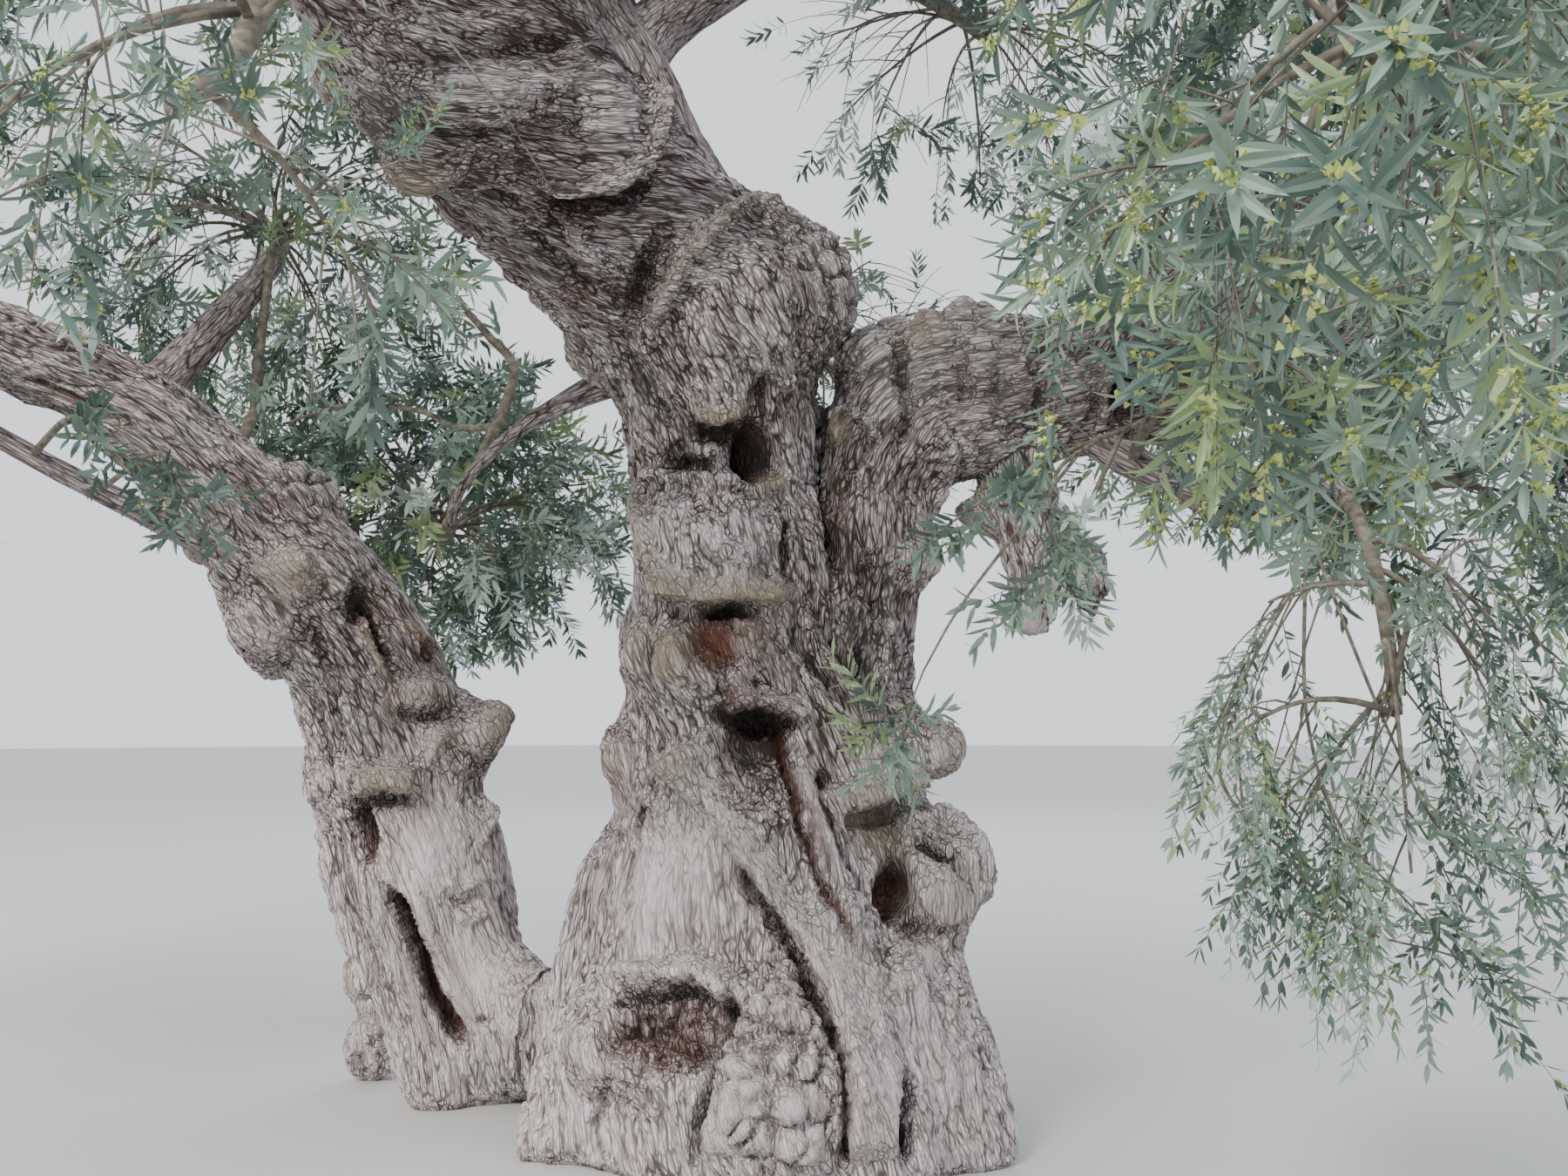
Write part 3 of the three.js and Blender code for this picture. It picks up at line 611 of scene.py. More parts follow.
# Places in the grain's own space: across, across and along the limb, with the grain's spiral and its swirl
def grainAt(where):
    grain = np.zeros_like(where)
    for index, name in enumerate(limbNames):
        mine = limbOf == index
        grain[mine] = limbPlace(where[mine], thickLimbs[name])[0] + (rightOffset if name == "right" else 0)
    swirled = np.maximum(0, grain[:, 2] - skin["swirlFrom"]) * (limbOf == 0)
    turn = skin["twist"] * grain[:, 2] + skin["swirl"] * swirled
    cosine, sine = np.cos(turn), np.sin(turn)
    grain[:, 0], grain[:, 1] = (
        grain[:, 0] * cosine - grain[:, 1] * sine + skin["sway"] * 2 * sway[:, 0],
        grain[:, 0] * sine + grain[:, 1] * cosine + skin["sway"] * 2 * sway[:, 1],
    )
    grain[:, 2] += skin["sway"] * 3 * sway[:, 2]
    return grain


grain = grainAt(places)
print("grain laid")


# Carving. Each stamp lies where the camera sees its pixels on the base skin. Its sizes are metres, rise is
# outwards, and its tones name the finish that it wears: rust is bare inner wood, smooth is healed bark, pale
# is bleached wood, dark is painted shade in hollows and creases, calm has hardly any splits, and knotted
# breaks up into burls.

tones = {name: np.zeros(len(places)) for name in ("rust", "smooth", "pale", "calm", "dark", "knotted")}
rise = np.zeros(len(places))
push = np.zeros_like(places)


# Pixels: how far and how finely the skin is looked for beside one, and the space between a stroke's places
pixelSteps = {"reach": 60, "search": 4, "stroke": 25}


# The base skin's place and normal behind a pixel, or just inside its outline where the pixel misses it
def skinAt(pixel):
    for step in range(0, pixelSteps["reach"], pixelSteps["search"]):
        for dx, dy in ((0, 0), (step, 0), (-step, 0), (0, step), (0, -step)):
            found = baseTree.ray_cast(cameraPlace, sightLine((pixel[0] + dx, pixel[1] + dy)))
            if found[0] is not None:
                return np.array(found[0]), np.array(found[1])
            if step == 0:
                break
    raise ValueError("no skin near pixel %s" % (pixel,))


def addTone(kept, amount, given):
    for name, value in given.items():
        tones[name][kept] = np.maximum(tones[name][kept], value * amount)


def nearPlaces(centre, reach):
    return np.nonzero(((places - centre) ** 2).sum(axis=1) < reach * reach)[0]


# A rounded swelling, or a hollow where the height is negative. A rim stands round a hollow.
def bump(centre, facing, wide, tall, height, flat=1.3, given=(), rim=0.0):
    kept = nearPlaces(centre, 1.3 * max(wide, tall) + 0.05)
    kept = kept[(normals[kept] @ facing) > -0.1]
    offset = places[kept] - centre
    upward = np.array((0, 0, 1.0)) - facing * facing[2]
    upward /= max(np.linalg.norm(upward), 1e-6)
    sideways = np.cross(upward, facing)
    u, v = offset @ sideways / (wide / 2), offset @ upward / (tall / 2)
    distance = np.sqrt(u * u + v * v + (offset @ facing / (max(wide, tall) * 0.7)) ** 2)
    shape = np.exp(-(distance ** 2 * 1.1) ** flat)
    rise[kept] += height * shape
    if rim:
        rise[kept] += rim * np.exp(-((distance - 1.15) / 0.3) ** 2)
    addTone(kept, shape, dict(given))


# A ridge along a line over the skin, or a crease where the height is negative. It tapers at both ends over a
# share of its length, and it may lean.
def stroke(points, facings, width, height, taper=0.25, given=(), lean=(0, 0, 0)):
    points = np.array(points)
    middle, facing = points.mean(axis=0), unit(np.array(facings).mean(axis=0))
    kept = nearPlaces(middle, np.linalg.norm(points - middle, axis=1).max() + 2 * width)
    kept = kept[(normals[kept] @ facing) > -0.3]
    best = np.full(len(kept), 9.0)
    share = np.zeros(len(kept))
    for i in range(len(points) - 1):
        first, step = points[i], points[i + 1] - points[i]
        t = np.clip(((places[kept] - first) @ step) / max(step @ step, 1e-9), 0, 1)
        distance = np.linalg.norm(places[kept] - first - t[:, None] * step, axis=1)
        closer = distance < best
        best[closer] = distance[closer]
        share[closer] = ((i + t) / (len(points) - 1))[closer]
    ends = smoothStep(share, 0, taper) * smoothStep(1 - share, 0, taper)
    shape = np.exp(-((best / (width / 2)) ** 2 * 1.1) ** 1.4) * (0.15 + 0.85 * ends)
    rise[kept] += height * shape
    push[kept] += np.array(lean) * shape[:, None]
    addTone(kept, shape, dict(given))


def bumpAt(pixel, *shape):
    centre, facing = skinAt(pixel)
    bump(centre, unit(facing + unit(np.array(cameraPlace) - centre)), *shape)


# A stroke through pixels, divided so that it follows the skin
def strokeAt(pixels, *shape):
    found = []
    for (x0, y0), (x1, y1) in zip(pixels, pixels[1:]):
        steps = max(1, round(math.hypot(x1 - x0, y1 - y0) / pixelSteps["stroke"]))
        found += [skinAt((x0 + (x1 - x0) * i / steps, y0 + (y1 - y0) * i / steps)) for i in range(steps)]
    found.append(skinAt(pixels[-1]))
    stroke([p for p, n in found], [n for p, n in found], *shape)


# Lobes and flutes all over, then the marks that only this tree has
height, number, along = skin["lobes"]
rise += height * 2 * (noise.layered(grain * (1, 1, along) * number, 3) - 0.5)
height, number = skin["flutes"]
rise += height * ((1 - np.abs(2 * noise.layered(grain * number + 9.1, 2) - 1)) ** 1.6 - 0.55)
height, number = skin["lumps"]
rise += height * 2 * (noise.layered(grain * number + 3.3, 2) - 0.5)

# Front of the main trunk, from the fork down
trunkBumps = [
    # pixel's column and row, width, height, rise, flatness, tones, rim
    (812, 606, 0.46, 0.32, 0.06, 2.8),
    (884, 556, 0.09, 0.09, 0.045, 1.5, {"smooth": 0.6}),
    (817, 590, 0.1, 0.14, -0.025, 1.2),
    (770, 600, 0.12, 0.1, 0.025, 1.2),
    (831, 748, 0.36, 0.29, 0.07, 1.5, {"rust": 0.25, "knotted": 0.5}),
    (820, 736, 0.19, 0.22, -0.05, 1.3, {"rust": 0.85, "dark": 0.3, "knotted": 0.5}, 0.015),
    (856, 730, 0.1, 0.18, 0.01, 1.3, {"rust": 0.45, "smooth": 0.4}),
    (843, 792, 0.14, 0.05, 0, 1.2, {"rust": 0.6}),
    (772, 750, 0.12, 0.15, 0.04, 1.2, {"smooth": 0.8}),
    (866, 732, 0.12, 0.14, 0.03, 1.2, {"smooth": 0.5, "rust": 0.3}),
    (868, 822, 0.27, 0.1, -0.17, 1.8, {"dark": 0.7}),
    (866, 852, 0.23, 0.19, -0.095, 1.6, {"dark": 0.25}),
    (862, 900, 0.17, 0.24, -0.035, 1.2),
    (797, 878, 0.14, 0.16, 0.09, 1.2, {"smooth": 0.6}),
    (742, 939, 0.05, 0.06, -0.16, 2, {"dark": 1}, 0.018),
    (946, 894, 0.05, 0.05, -0.09, 1, {"dark": 0.8}, 0.01),
    (1078, 858, 0.12, 0.13, 0.05, 1, {"smooth": 0.4}),
    (735, 742, 0.13, 0.2, 0.045, 1.3, {"smooth": 0.4}),
    (747, 757, 0.03, 0.1, -0.08, 1, {"dark": 0.6}),
    (712, 872, 0.13, 0.2, 0.045, 1.3, {"smooth": 0.3}),
    (1007, 948, 0.2, 0.24, -0.05, 1.4, {"smooth": 0.5}),
    (1026, 1022, 0.09, 0.2, -0.18, 1.2, {"dark": 0.7, "rust": 0.5, "calm": 0.5}),
    (1048, 1060, 0.1, 0.1, -0.06, 1.2, {"rust": 0.3}),
    (1086, 1036, 0.22, 0.24, 0.075, 1.6, {"smooth": 0.25}),
    (1104, 985, 0.14, 0.16, 0.05, 1.4),
    (770, 1015, 0.66, 0.56, 0.02, 1.8, {"calm": 0.5}),
    (720, 930, 0.24, 0.4, 0, 1.2, {"calm": 0.4}),
    (766, 1188, 0.44, 0.27, -0.105, 2.6, {"rust": 0.4, "knotted": 0.6}),
    (722, 1172, 0.11, 0.12, 0.065, 1.6),
    (766, 1160, 0.09, 0.09, 0.045, 1.4, {"rust": 0.3}),
    (799, 1178, 0.11, 0.12, 0.075, 1.6),
    (742, 1208, 0.13, 0.09, 0.05, 1.4, {"rust": 0.3}),
    (812, 1196, 0.07, 0.1, 0.035, 1.2),
    (839, 1163, 0.05, 0.075, -0.14, 1.5, {"dark": 1}, 0.01),
    (893, 1235, 0.42, 0.66, 0.075, 2.6, {"pale": 0.5, "knotted": 1}),
    (856, 1262, 0.11, 0.2, 0.03, 1.5, {"pale": 0.9, "calm": 0.5}),
    (908, 1268, 0.1, 0.1, 0.035, 1.5, {"pale": 0.9, "calm": 0.5}),
    (926, 1308, 0.12, 0.12, 0.035, 1.5, {"pale": 0.9, "calm": 0.5}),
    (820, 1305, 0.09, 0.12, 0.03, 1.3, {"pale": 0.7, "calm": 0.4}),
    (890, 1150, 0.14, 0.15, 0.035, 1.3, {"pale": 0.2}),
    (1064, 1102, 0.055, 0.1, 0.018, 2, {"pale": 1, "calm": 1}),
    (690, 1290, 0.35, 0.24, 0.03, 1, {"calm": 0.3}),
    (840, 790, 0.2, 0.1, 0.03, 1.3, {"knotted": 0.8}),
    (1015, 870, 0.3, 0.16, 0.035, 1.4),
]
trunkStrokes = [
    # pixels, width, rise, taper, tones, lean
    ([(764, 656), (777, 670), (797, 677), (818, 675), (838, 668), (856, 672), (874, 679), (888, 675),
      (894, 662)], 0.115, 0.105, 0.06, {"smooth": 0.75}, (0, -0.01, -0.02)),
    ([(724, 560), (738, 582), (747, 606), (757, 630), (775, 650), (782, 676)],
     0.05, 0.06, 0.12, {"smooth": 0.45}),
    ([(715, 575), (725, 605), (735, 635), (752, 662)], 0.045, -0.05, 0.2),
    ([(760, 640), (782, 655), (800, 668)], 0.05, 0.035, 0.2, {"smooth": 0.6}),
    ([(893, 585), (884, 620), (888, 660)], 0.05, 0.035, 0.2),
    ([(900, 590), (898, 625), (902, 665)], 0.035, -0.045, 0.2),
    ([(724, 558), (751, 545), (786, 549), (830, 556), (866, 552), (892, 548)], 0.055, 0.05, 0.15),
    ([(748, 528), (790, 532), (835, 536)], 0.05, -0.055),
    ([(818, 640), (832, 628), (848, 636), (862, 652)], 0.05, 0.04),
    ([(806, 705), (835, 700), (864, 705)], 0.055, -0.15, 0.25, {"dark": 0.9}),
    ([(832, 822), (845, 806), (862, 799), (884, 802), (912, 812), (924, 828)],
     0.055, 0.095, 0.15, {"rust": 0.25}, (0, -0.01, -0.03)),
    ([(889, 820), (897, 850), (905, 885)], 0.035, -0.05, 0.2, {"rust": 0.9}),
    ([(828, 828), (817, 853), (799, 880), (812, 905), (845, 932), (863, 984), (894, 1025), (926, 1070),
      (958, 1120), (976, 1183), (985, 1251), (989, 1340)], 0.1, 0.1, 0.08, {"smooth": 0.2}, (-0.02, 0, 0)),
    ([(842, 978), (866, 1016), (894, 1056), (920, 1098), (940, 1140)], 0.06, -0.12, 0.25, {"dark": 0.15}),
    ([(899, 842), (903, 880), (914, 916), (919, 950), (930, 975), (938, 1010), (958, 1040), (976, 1078),
      (994, 1106)], 0.028, -0.055, 0.2, {"rust": 0.75}),
    ([(924, 902), (932, 950), (949, 990), (962, 1024)], 0.022, -0.03, 0.3, {"rust": 0.5}),
    ([(914, 862), (926, 905), (938, 950), (956, 990), (972, 1020)],
     0.065, 0.05, 0.25, {"pale": 0.75, "calm": 0.3}),
    ([(935, 905), (962, 960), (985, 1010), (1010, 1060)], 0.035, -0.045),
    ([(964, 916), (994, 908), (1035, 894), (1058, 876)], 0.1, 0.09, 0.15, {"smooth": 0.5}, (0, 0, -0.025)),
    ([(972, 944), (1003, 938), (1036, 922)], 0.06, -0.065, 0.2, {"dark": 0.4, "calm": 0.6}),
    ([(1053, 934), (1089, 939), (1112, 966), (1125, 1000), (1118, 1040)], 0.065, 0.06, 0.2),
    ([(1044, 962), (1071, 976), (1096, 990), (1106, 1015)], 0.045, -0.09, 0.2, {"dark": 0.4}),
    ([(1040, 1066), (1070, 1072), (1100, 1058)], 0.05, -0.05, 0.2),
    ([(984, 742), (994, 764), (1001, 790)], 0.06, -0.13, 0.3, {"dark": 0.7, "rust": 0.4}),
    ([(940, 445), (944, 500), (946, 557), (956, 620), (966, 670)], 0.06, -0.06, 0.2),
    ([(890, 685), (899, 744), (930, 785), (975, 838), (1008, 880)], 0.055, 0.035, 0.3),
    ([(905, 690), (918, 745), (950, 786), (990, 836)], 0.035, -0.035, 0.3),
    ([(917, 676), (935, 740), (966, 780), (1010, 825), (1040, 850)], 0.05, 0.032, 0.3),
    ([(930, 670), (950, 730), (985, 780), (1030, 822)], 0.035, -0.035, 0.3),
    ([(900, 560), (905, 620), (912, 680)], 0.05, 0.03, 0.3),
    ([(690, 1130), (731, 1121), (772, 1115), (804, 1108), (830, 1124), (850, 1150)],
     0.085, 0.1, 0.12, {}, (0, 0, -0.02)),
    ([(700, 1148), (740, 1142), (790, 1136), (820, 1150)], 0.045, -0.06, 0.2, {"dark": 0.6}),
    ([(700, 1222), (750, 1236), (805, 1222)], 0.07, 0.04, 0.2),
    ([(949, 1025), (980, 1097), (998, 1161), (1008, 1229), (1010, 1340)], 0.15, 0.07, 0.1, {"pale": 0.25}),
    ([(912, 1112), (946, 1165), (972, 1215), (978, 1283), (970, 1346)], 0.045, -0.11, 0.12, {"dark": 0.5}),
    ([(1046, 1226), (1038, 1274), (1042, 1332)], 0.055, -0.13, 0.12, {"dark": 0.8}),
    ([(1030, 1090), (1050, 1150), (1075, 1210), (1100, 1290)], 0.08, 0.045, 0.2, {"pale": 0.25}),
    ([(845, 1165), (822, 1230), (802, 1290), (796, 1346)], 0.04, -0.08, 0.12, {"dark": 0.3}),
    ([(660, 1060), (640, 1140), (620, 1220)], 0.09, 0.03, 0.3),
    ([(700, 1240), (690, 1290), (700, 1340)], 0.05, -0.05, 0.3),
    ([(730, 960), (722, 1010), (728, 1060)], 0.05, -0.03, 0.3),
    ([(1075, 1120), (1090, 1190), (1125, 1270)], 0.07, 0.045, 0.2, {"pale": 0.2}),
]

# The upper bough: a shield-shaped burl over a hollow, folds above it, and the great swirl at the top
upperBumps = [
    (845, 350, 0.44, 0.58, 0.06, 2.8),
    (826, 452, 0.2, 0.12, 0.06),
    (866, 522, 0.15, 0.19, -0.23, 1.5, {"dark": 1}),
    (897, 430, 0.09, 0.1, 0.04, 1.2),
    (873, 441, 0.05, 0.07, -0.07, 1, {"dark": 0.6, "rust": 0.4}),
    (484, 196, 0.24, 0.13, 0.085, 1.6, {"smooth": 0.5}),
    (555, 232, 0.2, 0.09, -0.11, 1.3, {"dark": 0.5}),
    (640, 262, 0.2, 0.1, -0.06, 1.2),
    (695, 140, 0.26, 0.36, 0.06, 2.0),
    (450, 120, 0.24, 0.2, -0.04),
    (560, 95, 0.42, 0.26, 0.045, 1.8),
    (470, 40, 0.3, 0.22, 0.035, 1.4),
    (700, 400, 0.1, 0.1, 0.035, 1),
    (735, 500, 0.16, 0.16, 0.03, 1),
    (660, 340, 0.12, 0.1, -0.045, 1, {"rust": 0.4}),
    (712, 330, 0.1, 0.14, -0.045, 1),
]
upperStrokes = [
    ([(905, 262), (862, 241), (828, 254), (804, 273), (780, 296), (763, 337), (749, 375)],
     0.065, 0.08, 0.12, {"smooth": 0.3}),
    ([(768, 262), (742, 300), (728, 350), (724, 385)], 0.06, -0.075, 0.2),
    ([(751, 371), (742, 406), (762, 438), (786, 459)], 0.05, 0.03, 0.2),
    ([(796, 466), (826, 475), (856, 462)], 0.055, 0.07, 0.2, {"smooth": 0.6}, (0, 0, -0.03)),
    ([(790, 496), (828, 500), (850, 490)], 0.06, -0.08, 0.25, {"dark": 0.4}),
    ([(715, 400), (740, 450), (775, 485)], 0.05, -0.05),
    ([(610, 216), (640, 246), (668, 282), (704, 312), (735, 350)], 0.055, 0.06, 0.2),
    ([(590, 262), (640, 302), (690, 348)], 0.06, -0.065),
    ([(548, 250), (560, 300), (610, 345), (665, 395)], 0.06, 0.035),
    ([(665, 395), (690, 415), (720, 430)], 0.05, 0.045),
    ([(742, 90), (744, 140), (735, 185), (700, 206), (655, 208), (610, 200)],
     0.07, 0.085, 0.1, {}, (0, 0, -0.02)),
    ([(610, 232), (660, 238), (715, 232), (752, 200)], 0.06, -0.09, 0.15, {"dark": 0.4}),
    ([(770, 80), (772, 130), (755, 170)], 0.05, 0.03, 0.3),
    ([(750, 60), (757, 120), (752, 170)], 0.04, -0.1, 0.2, {"dark": 0.6}),
    ([(430, 130), (510, 155), (600, 150), (690, 128)], 0.06, -0.045),
    ([(420, 96), (500, 112), (600, 104), (700, 80)], 0.07, 0.04),
    ([(420, 66), (500, 76), (600, 62), (690, 36)], 0.06, -0.04),
    ([(440, 26), (520, 34), (620, 16)], 0.07, 0.035),
    ([(530, 205), (560, 196), (600, 196)], 0.05, 0.045, 0.25, {}, (0, 0, -0.02)),
    ([(718, 470), (722, 520), (716, 560)], 0.05, 0.03, 0.3),
    ([(770, 500), (778, 530), (762, 556)], 0.05, -0.045, 0.3),
    ([(812, 505), (828, 535), (842, 556)], 0.06, 0.045, 0.3),
    ([(895, 500), (905, 540), (900, 580)], 0.05, 0.035, 0.3),
]

# The right stem and its bough: knobs along the top, broken wood, and the stub that was pruned
rightBumps = [
    (993, 388, 0.22, 0.19, 0.085, 1.6),
    (1064, 396, 0.17, 0.15, 0.065, 1.5, {"smooth": 0.55}),
    (1120, 400, 0.14, 0.1, 0.03, 1.2, {"pale": 0.3}),
    (1163, 384, 0.1, 0.11, 0.06),
    (1226, 384, 0.21, 0.17, 0.085, 2.2, {"calm": 0.4, "pale": 0.25}),
    (1196, 396, 0.035, 0.12, -0.06, 1.2, {"dark": 0.4}),
    (1300, 455, 0.2, 0.19, -0.14, 1.3, {"rust": 0.5, "dark": 0.4}, 0.02),
    (1390, 420, 0.42, 0.3, 0.01, 1.6, {"rust": 0.95, "calm": 0.4}),
    (1470, 290, 0.16, 0.4, 0, 1.3, {"rust": 0.9}),
    (1050, 640, 0.27, 0.19, 0.065, 1.5, {"smooth": 0.2}),
    (962, 497, 0.1, 0.1, 0.045, 1.4, {"smooth": 0.8}),
    (985, 520, 0.15, 0.16, -0.045, 1.2),
    (1000, 600, 0.2, 0.3, 0.035),
    (1050, 545, 0.16, 0.2, -0.04),
    (1085, 520, 0.22, 0.2, 0.035, 1.3, {"knotted": 0.5}),
    (1010, 455, 0.2, 0.14, 0.03),
    (1120, 500, 0.24, 0.24, 0.035, 1.3, {"knotted": 0.4}),
    (1230, 455, 0.22, 0.2, 0.04, 1.4, {"pale": 0.2}),
    (1150, 440, 0.08, 0.12, -0.05, 1),
    (1092, 440, 0.13, 0.2, -0.035, 1.2),
    (1150, 560, 0.1, 0.16, 0.03, 1.2, {"rust": 0.4}),
    (1205, 668, 0.1, 0.12, 0.035, 2, {"pale": 0.9, "calm": 0.8}),
    (1182, 722, 0.09, 0.13, 0.02, 2, {"pale": 0.9, "calm": 0.8}),
    (1245, 692, 0.1, 0.08, -0.03, 1, {"rust": 0.8}),
    # Painted shade: a wide darker patch with no rise
    (1012, 620, 0.44, 0.8, 0, 1.6, {"dark": 0.28}),
    (1150, 430, 0.9, 0.36, 0, 1.6, {"pale": 0.3}),
]
rightStrokes = [
    ([(944, 520), (952, 486), (975, 474), (1000, 488), (1012, 520)], 0.045, 0.045),
    ([(960, 545), (985, 548), (1000, 530)], 0.04, 0.03),
    ([(1030, 398), (1036, 425), (1030, 450)], 0.045, -0.055, 0.25, {"dark": 0.3}),
    ([(1096, 405), (1110, 430), (1108, 470)], 0.045, -0.05),
    ([(1030, 420), (1045, 470), (1030, 520)], 0.045, -0.045),
    ([(1075, 470), (1085, 530), (1068, 590)], 0.06, 0.035),
    ([(1180, 400), (1196, 450), (1190, 500)], 0.045, -0.045),
    ([(1262, 400), (1270, 440), (1262, 490)], 0.05, 0.045, 0.25, {"smooth": 0.4}),
    ([(1345, 395), (1400, 420), (1440, 400)], 0.03, -0.03, 0.25, {"rust": 1}),
    ([(1340, 425), (1390, 450), (1430, 440)], 0.03, -0.03, 0.25, {"rust": 1}),
    ([(1355, 375), (1400, 390), (1445, 370)], 0.04, 0.03, 0.25, {"rust": 1}),
    ([(1018, 690), (1012, 740), (1010, 800)], 0.06, 0.035),
    ([(990, 640), (1000, 690), (1015, 720)], 0.04, -0.04),
]

# The second stem: knobs, a hollow under a pale lip, and the long slit between its two legs
secondBumps = [
    (252, 662, 0.12, 0.12, 0.04, 1),
    (342, 660, 0.2, 0.16, 0.06, 1.2, {"smooth": 0.6}),
    (402, 676, 0.14, 0.12, 0.045, 1),
    (413, 690, 0.1, 0.17, -0.11, 1.6, {"dark": 0.5}),
    (430, 704, 0.045, 0.18, -0.11, 1.4, {"dark": 0.6}),
    (303, 716, 0.28, 0.26, 0.06, 1.9, {"smooth": 0.15}),
    (441, 744, 0.035, 0.035, -0.05, 1.5),
    (452, 752, 0.03, 0.03, -0.045, 1.5),
    (490, 750, 0.08, 0.1, -0.055, 1, {"rust": 0.9}, 0.01),
    (486, 795, 0.24, 0.14, 0.075, 1.6, {"smooth": 0.35}),
    (568, 824, 0.1, 0.09, 0.05, 1.4),
    (556, 838, 0.16, 0.17, 0.075, 1.2, {"smooth": 0.45}),
    (450, 810, 0.12, 0.24, 0, 1, {"rust": 0.35}),
    (417, 955, 0.1, 0.22, -0.13, 1.5, {"dark": 0.5, "rust": 0.4}),
    (553, 940, 0.1, 0.1, 0.045, 1),
    (553, 1172, 0.03, 0.03, -0.05, 1.5, {}, 0.008),
    (500, 960, 0.3, 0.4, 0, 1.3, {"calm": 0.6}),
    (545, 1120, 0.26, 0.35, 0, 1.3, {"calm": 0.6}),
    (633, 1132, 0.15, 0.14, 0.055, 1.2),
    (600, 1180, 0.16, 0.12, 0.035, 1),
    (510, 850, 0.16, 0.14, 0.04, 1.2, {"smooth": 0.3}),
    (440, 700, 0.1, 0.16, -0.04, 1, {"rust": 0.3}),
    (70, 530, 0.16, 0.12, -0.07, 1, {"rust": 0.4}),
    (60, 420, 0.2, 0.12, 0.03, 1),
    (250, 520, 0.14, 0.12, 0.03, 1),
    (180, 440, 0.14, 0.1, 0.03, 1),
]
secondStrokes = [
    ([(408, 897), (430, 890), (455, 889), (474, 896)], 0.1, 0.095, 0.12, {"smooth": 0.55}, (0, -0.01, -0.02)),
    ([(476, 888), (490, 868), (506, 846), (520, 838)], 0.06, 0.05, 0.2, {"smooth": 0.2}),
    ([(404, 922), (440, 920), (482, 918)], 0.05, -0.075, 0.2, {"dark": 0.3}),
    ([(450, 818), (485, 824), (520, 818)], 0.045, -0.05),
    ([(275, 752), (310, 768), (345, 762)], 0.045, -0.06),
    ([(291, 657), (325, 646), (360, 655)], 0.09, 0.05, 0.2, {"smooth": 0.5}, (0, 0, -0.01)),
    ([(372, 905), (378, 960), (398, 1040), (425, 1130), (450, 1225)], 0.05, 0.045, 0.15),
    ([(392, 975), (410, 1045), (438, 1125), (468, 1210)], 0.035, -0.05),
    ([(355, 700), (372, 760), (384, 820), (392, 870)], 0.05, -0.045),
    ([(332, 770), (345, 820), (360, 880), (376, 965), (392, 1040), (412, 1100)], 0.05, 0.04, 0.15),
    ([(356, 780), (372, 850), (392, 930)], 0.035, -0.05, 0.25, {"rust": 0.3}),
    ([(446, 1020), (460, 1045), (482, 1096), (498, 1141), (520, 1178), (534, 1200)],
     0.05, -0.17, 0.1, {"rust": 0.7}),
    ([(425, 1000), (440, 1060), (462, 1120), (485, 1180), (510, 1235)], 0.06, 0.035, 0.2, {"smooth": 0.3}),
    ([(470, 1010), (500, 1080), (530, 1140), (560, 1190)], 0.06, 0.035, 0.2, {"smooth": 0.3}),
    ([(508, 1010), (528, 1022), (550, 1012)], 0.035, 0.025, 0.2),
    ([(508, 1028), (530, 1040), (552, 1030)], 0.03, -0.03, 0.2),
    ([(520, 1050), (540, 1058), (560, 1048)], 0.035, 0.025, 0.2),
    ([(545, 905), (555, 935), (548, 975)], 0.04, 0.03, 0.2),
    ([(432, 700), (438, 740), (455, 770)], 0.035, -0.05, 0.2, {"rust": 0.4}),
    ([(420, 690), (425, 735), (450, 790)], 0.045, 0.035, 0.2, {"smooth": 0.4}),
    ([(455, 715), (480, 735), (508, 745)], 0.045, 0.035, 0.2, {"smooth": 0.5}),
    ([(0, 372), (60, 392), (130, 412), (180, 440)], 0.05, 0.035, 0.2),
    ([(20, 430), (80, 455), (150, 490)], 0.04, -0.04, 0.2, {"rust": 0.4}),
    ([(220, 500), (280, 560), (330, 600)], 0.05, -0.03, 0.2),
    ([(250, 560), (300, 610), (350, 640)], 0.05, 0.03, 0.2),
]

for column, row, *shape in trunkBumps + upperBumps + rightBumps + secondBumps:
    bumpAt((column, row), *shape)
for pixels, *shape in trunkStrokes + upperStrokes + rightStrokes + secondStrokes:
    strokeAt(pixels, *shape)
print("front carved")

# Knobs, hollows and folds where the picture doesn't look: round the sides and the back
unseen = {
    "seed": 12,
    "facing": 0.12,  # how far a place has to face away from the camera
    "from": 0.1,  # height over the ground
    "bumps": [
        # number, width, height and rise as shares of it, flatness, tones, rim. What has a rim is a hollow.
        (90, (0.09, 0.26), (0.8, 1.3), (0.2, 0.4), (1, 1.6), {"smooth": (0, 0.5)}, 0),
        (10, (0.3, 0.55), (0.8, 1.3), (0.1, 0.2), (1.4, 2.4), {"knotted": 1, "pale": (0, 0.5)}, 0),
        (26, (0.06, 0.15), (1, 1.8), (0.5, 0.8), (1, 1.5), {"rust": (0.1, 0.8), "dark": (0, 0.8)}, 0.012),
    ],
    "folds": 70,
    "foldLength": (0.2, 0.6),
    "foldWidth": (0.05, 0.1),
    "foldRise": (0.02, 0.06),
    "foldTaper": 0.35,
    "foldSmooth": (0, 0.4),
}


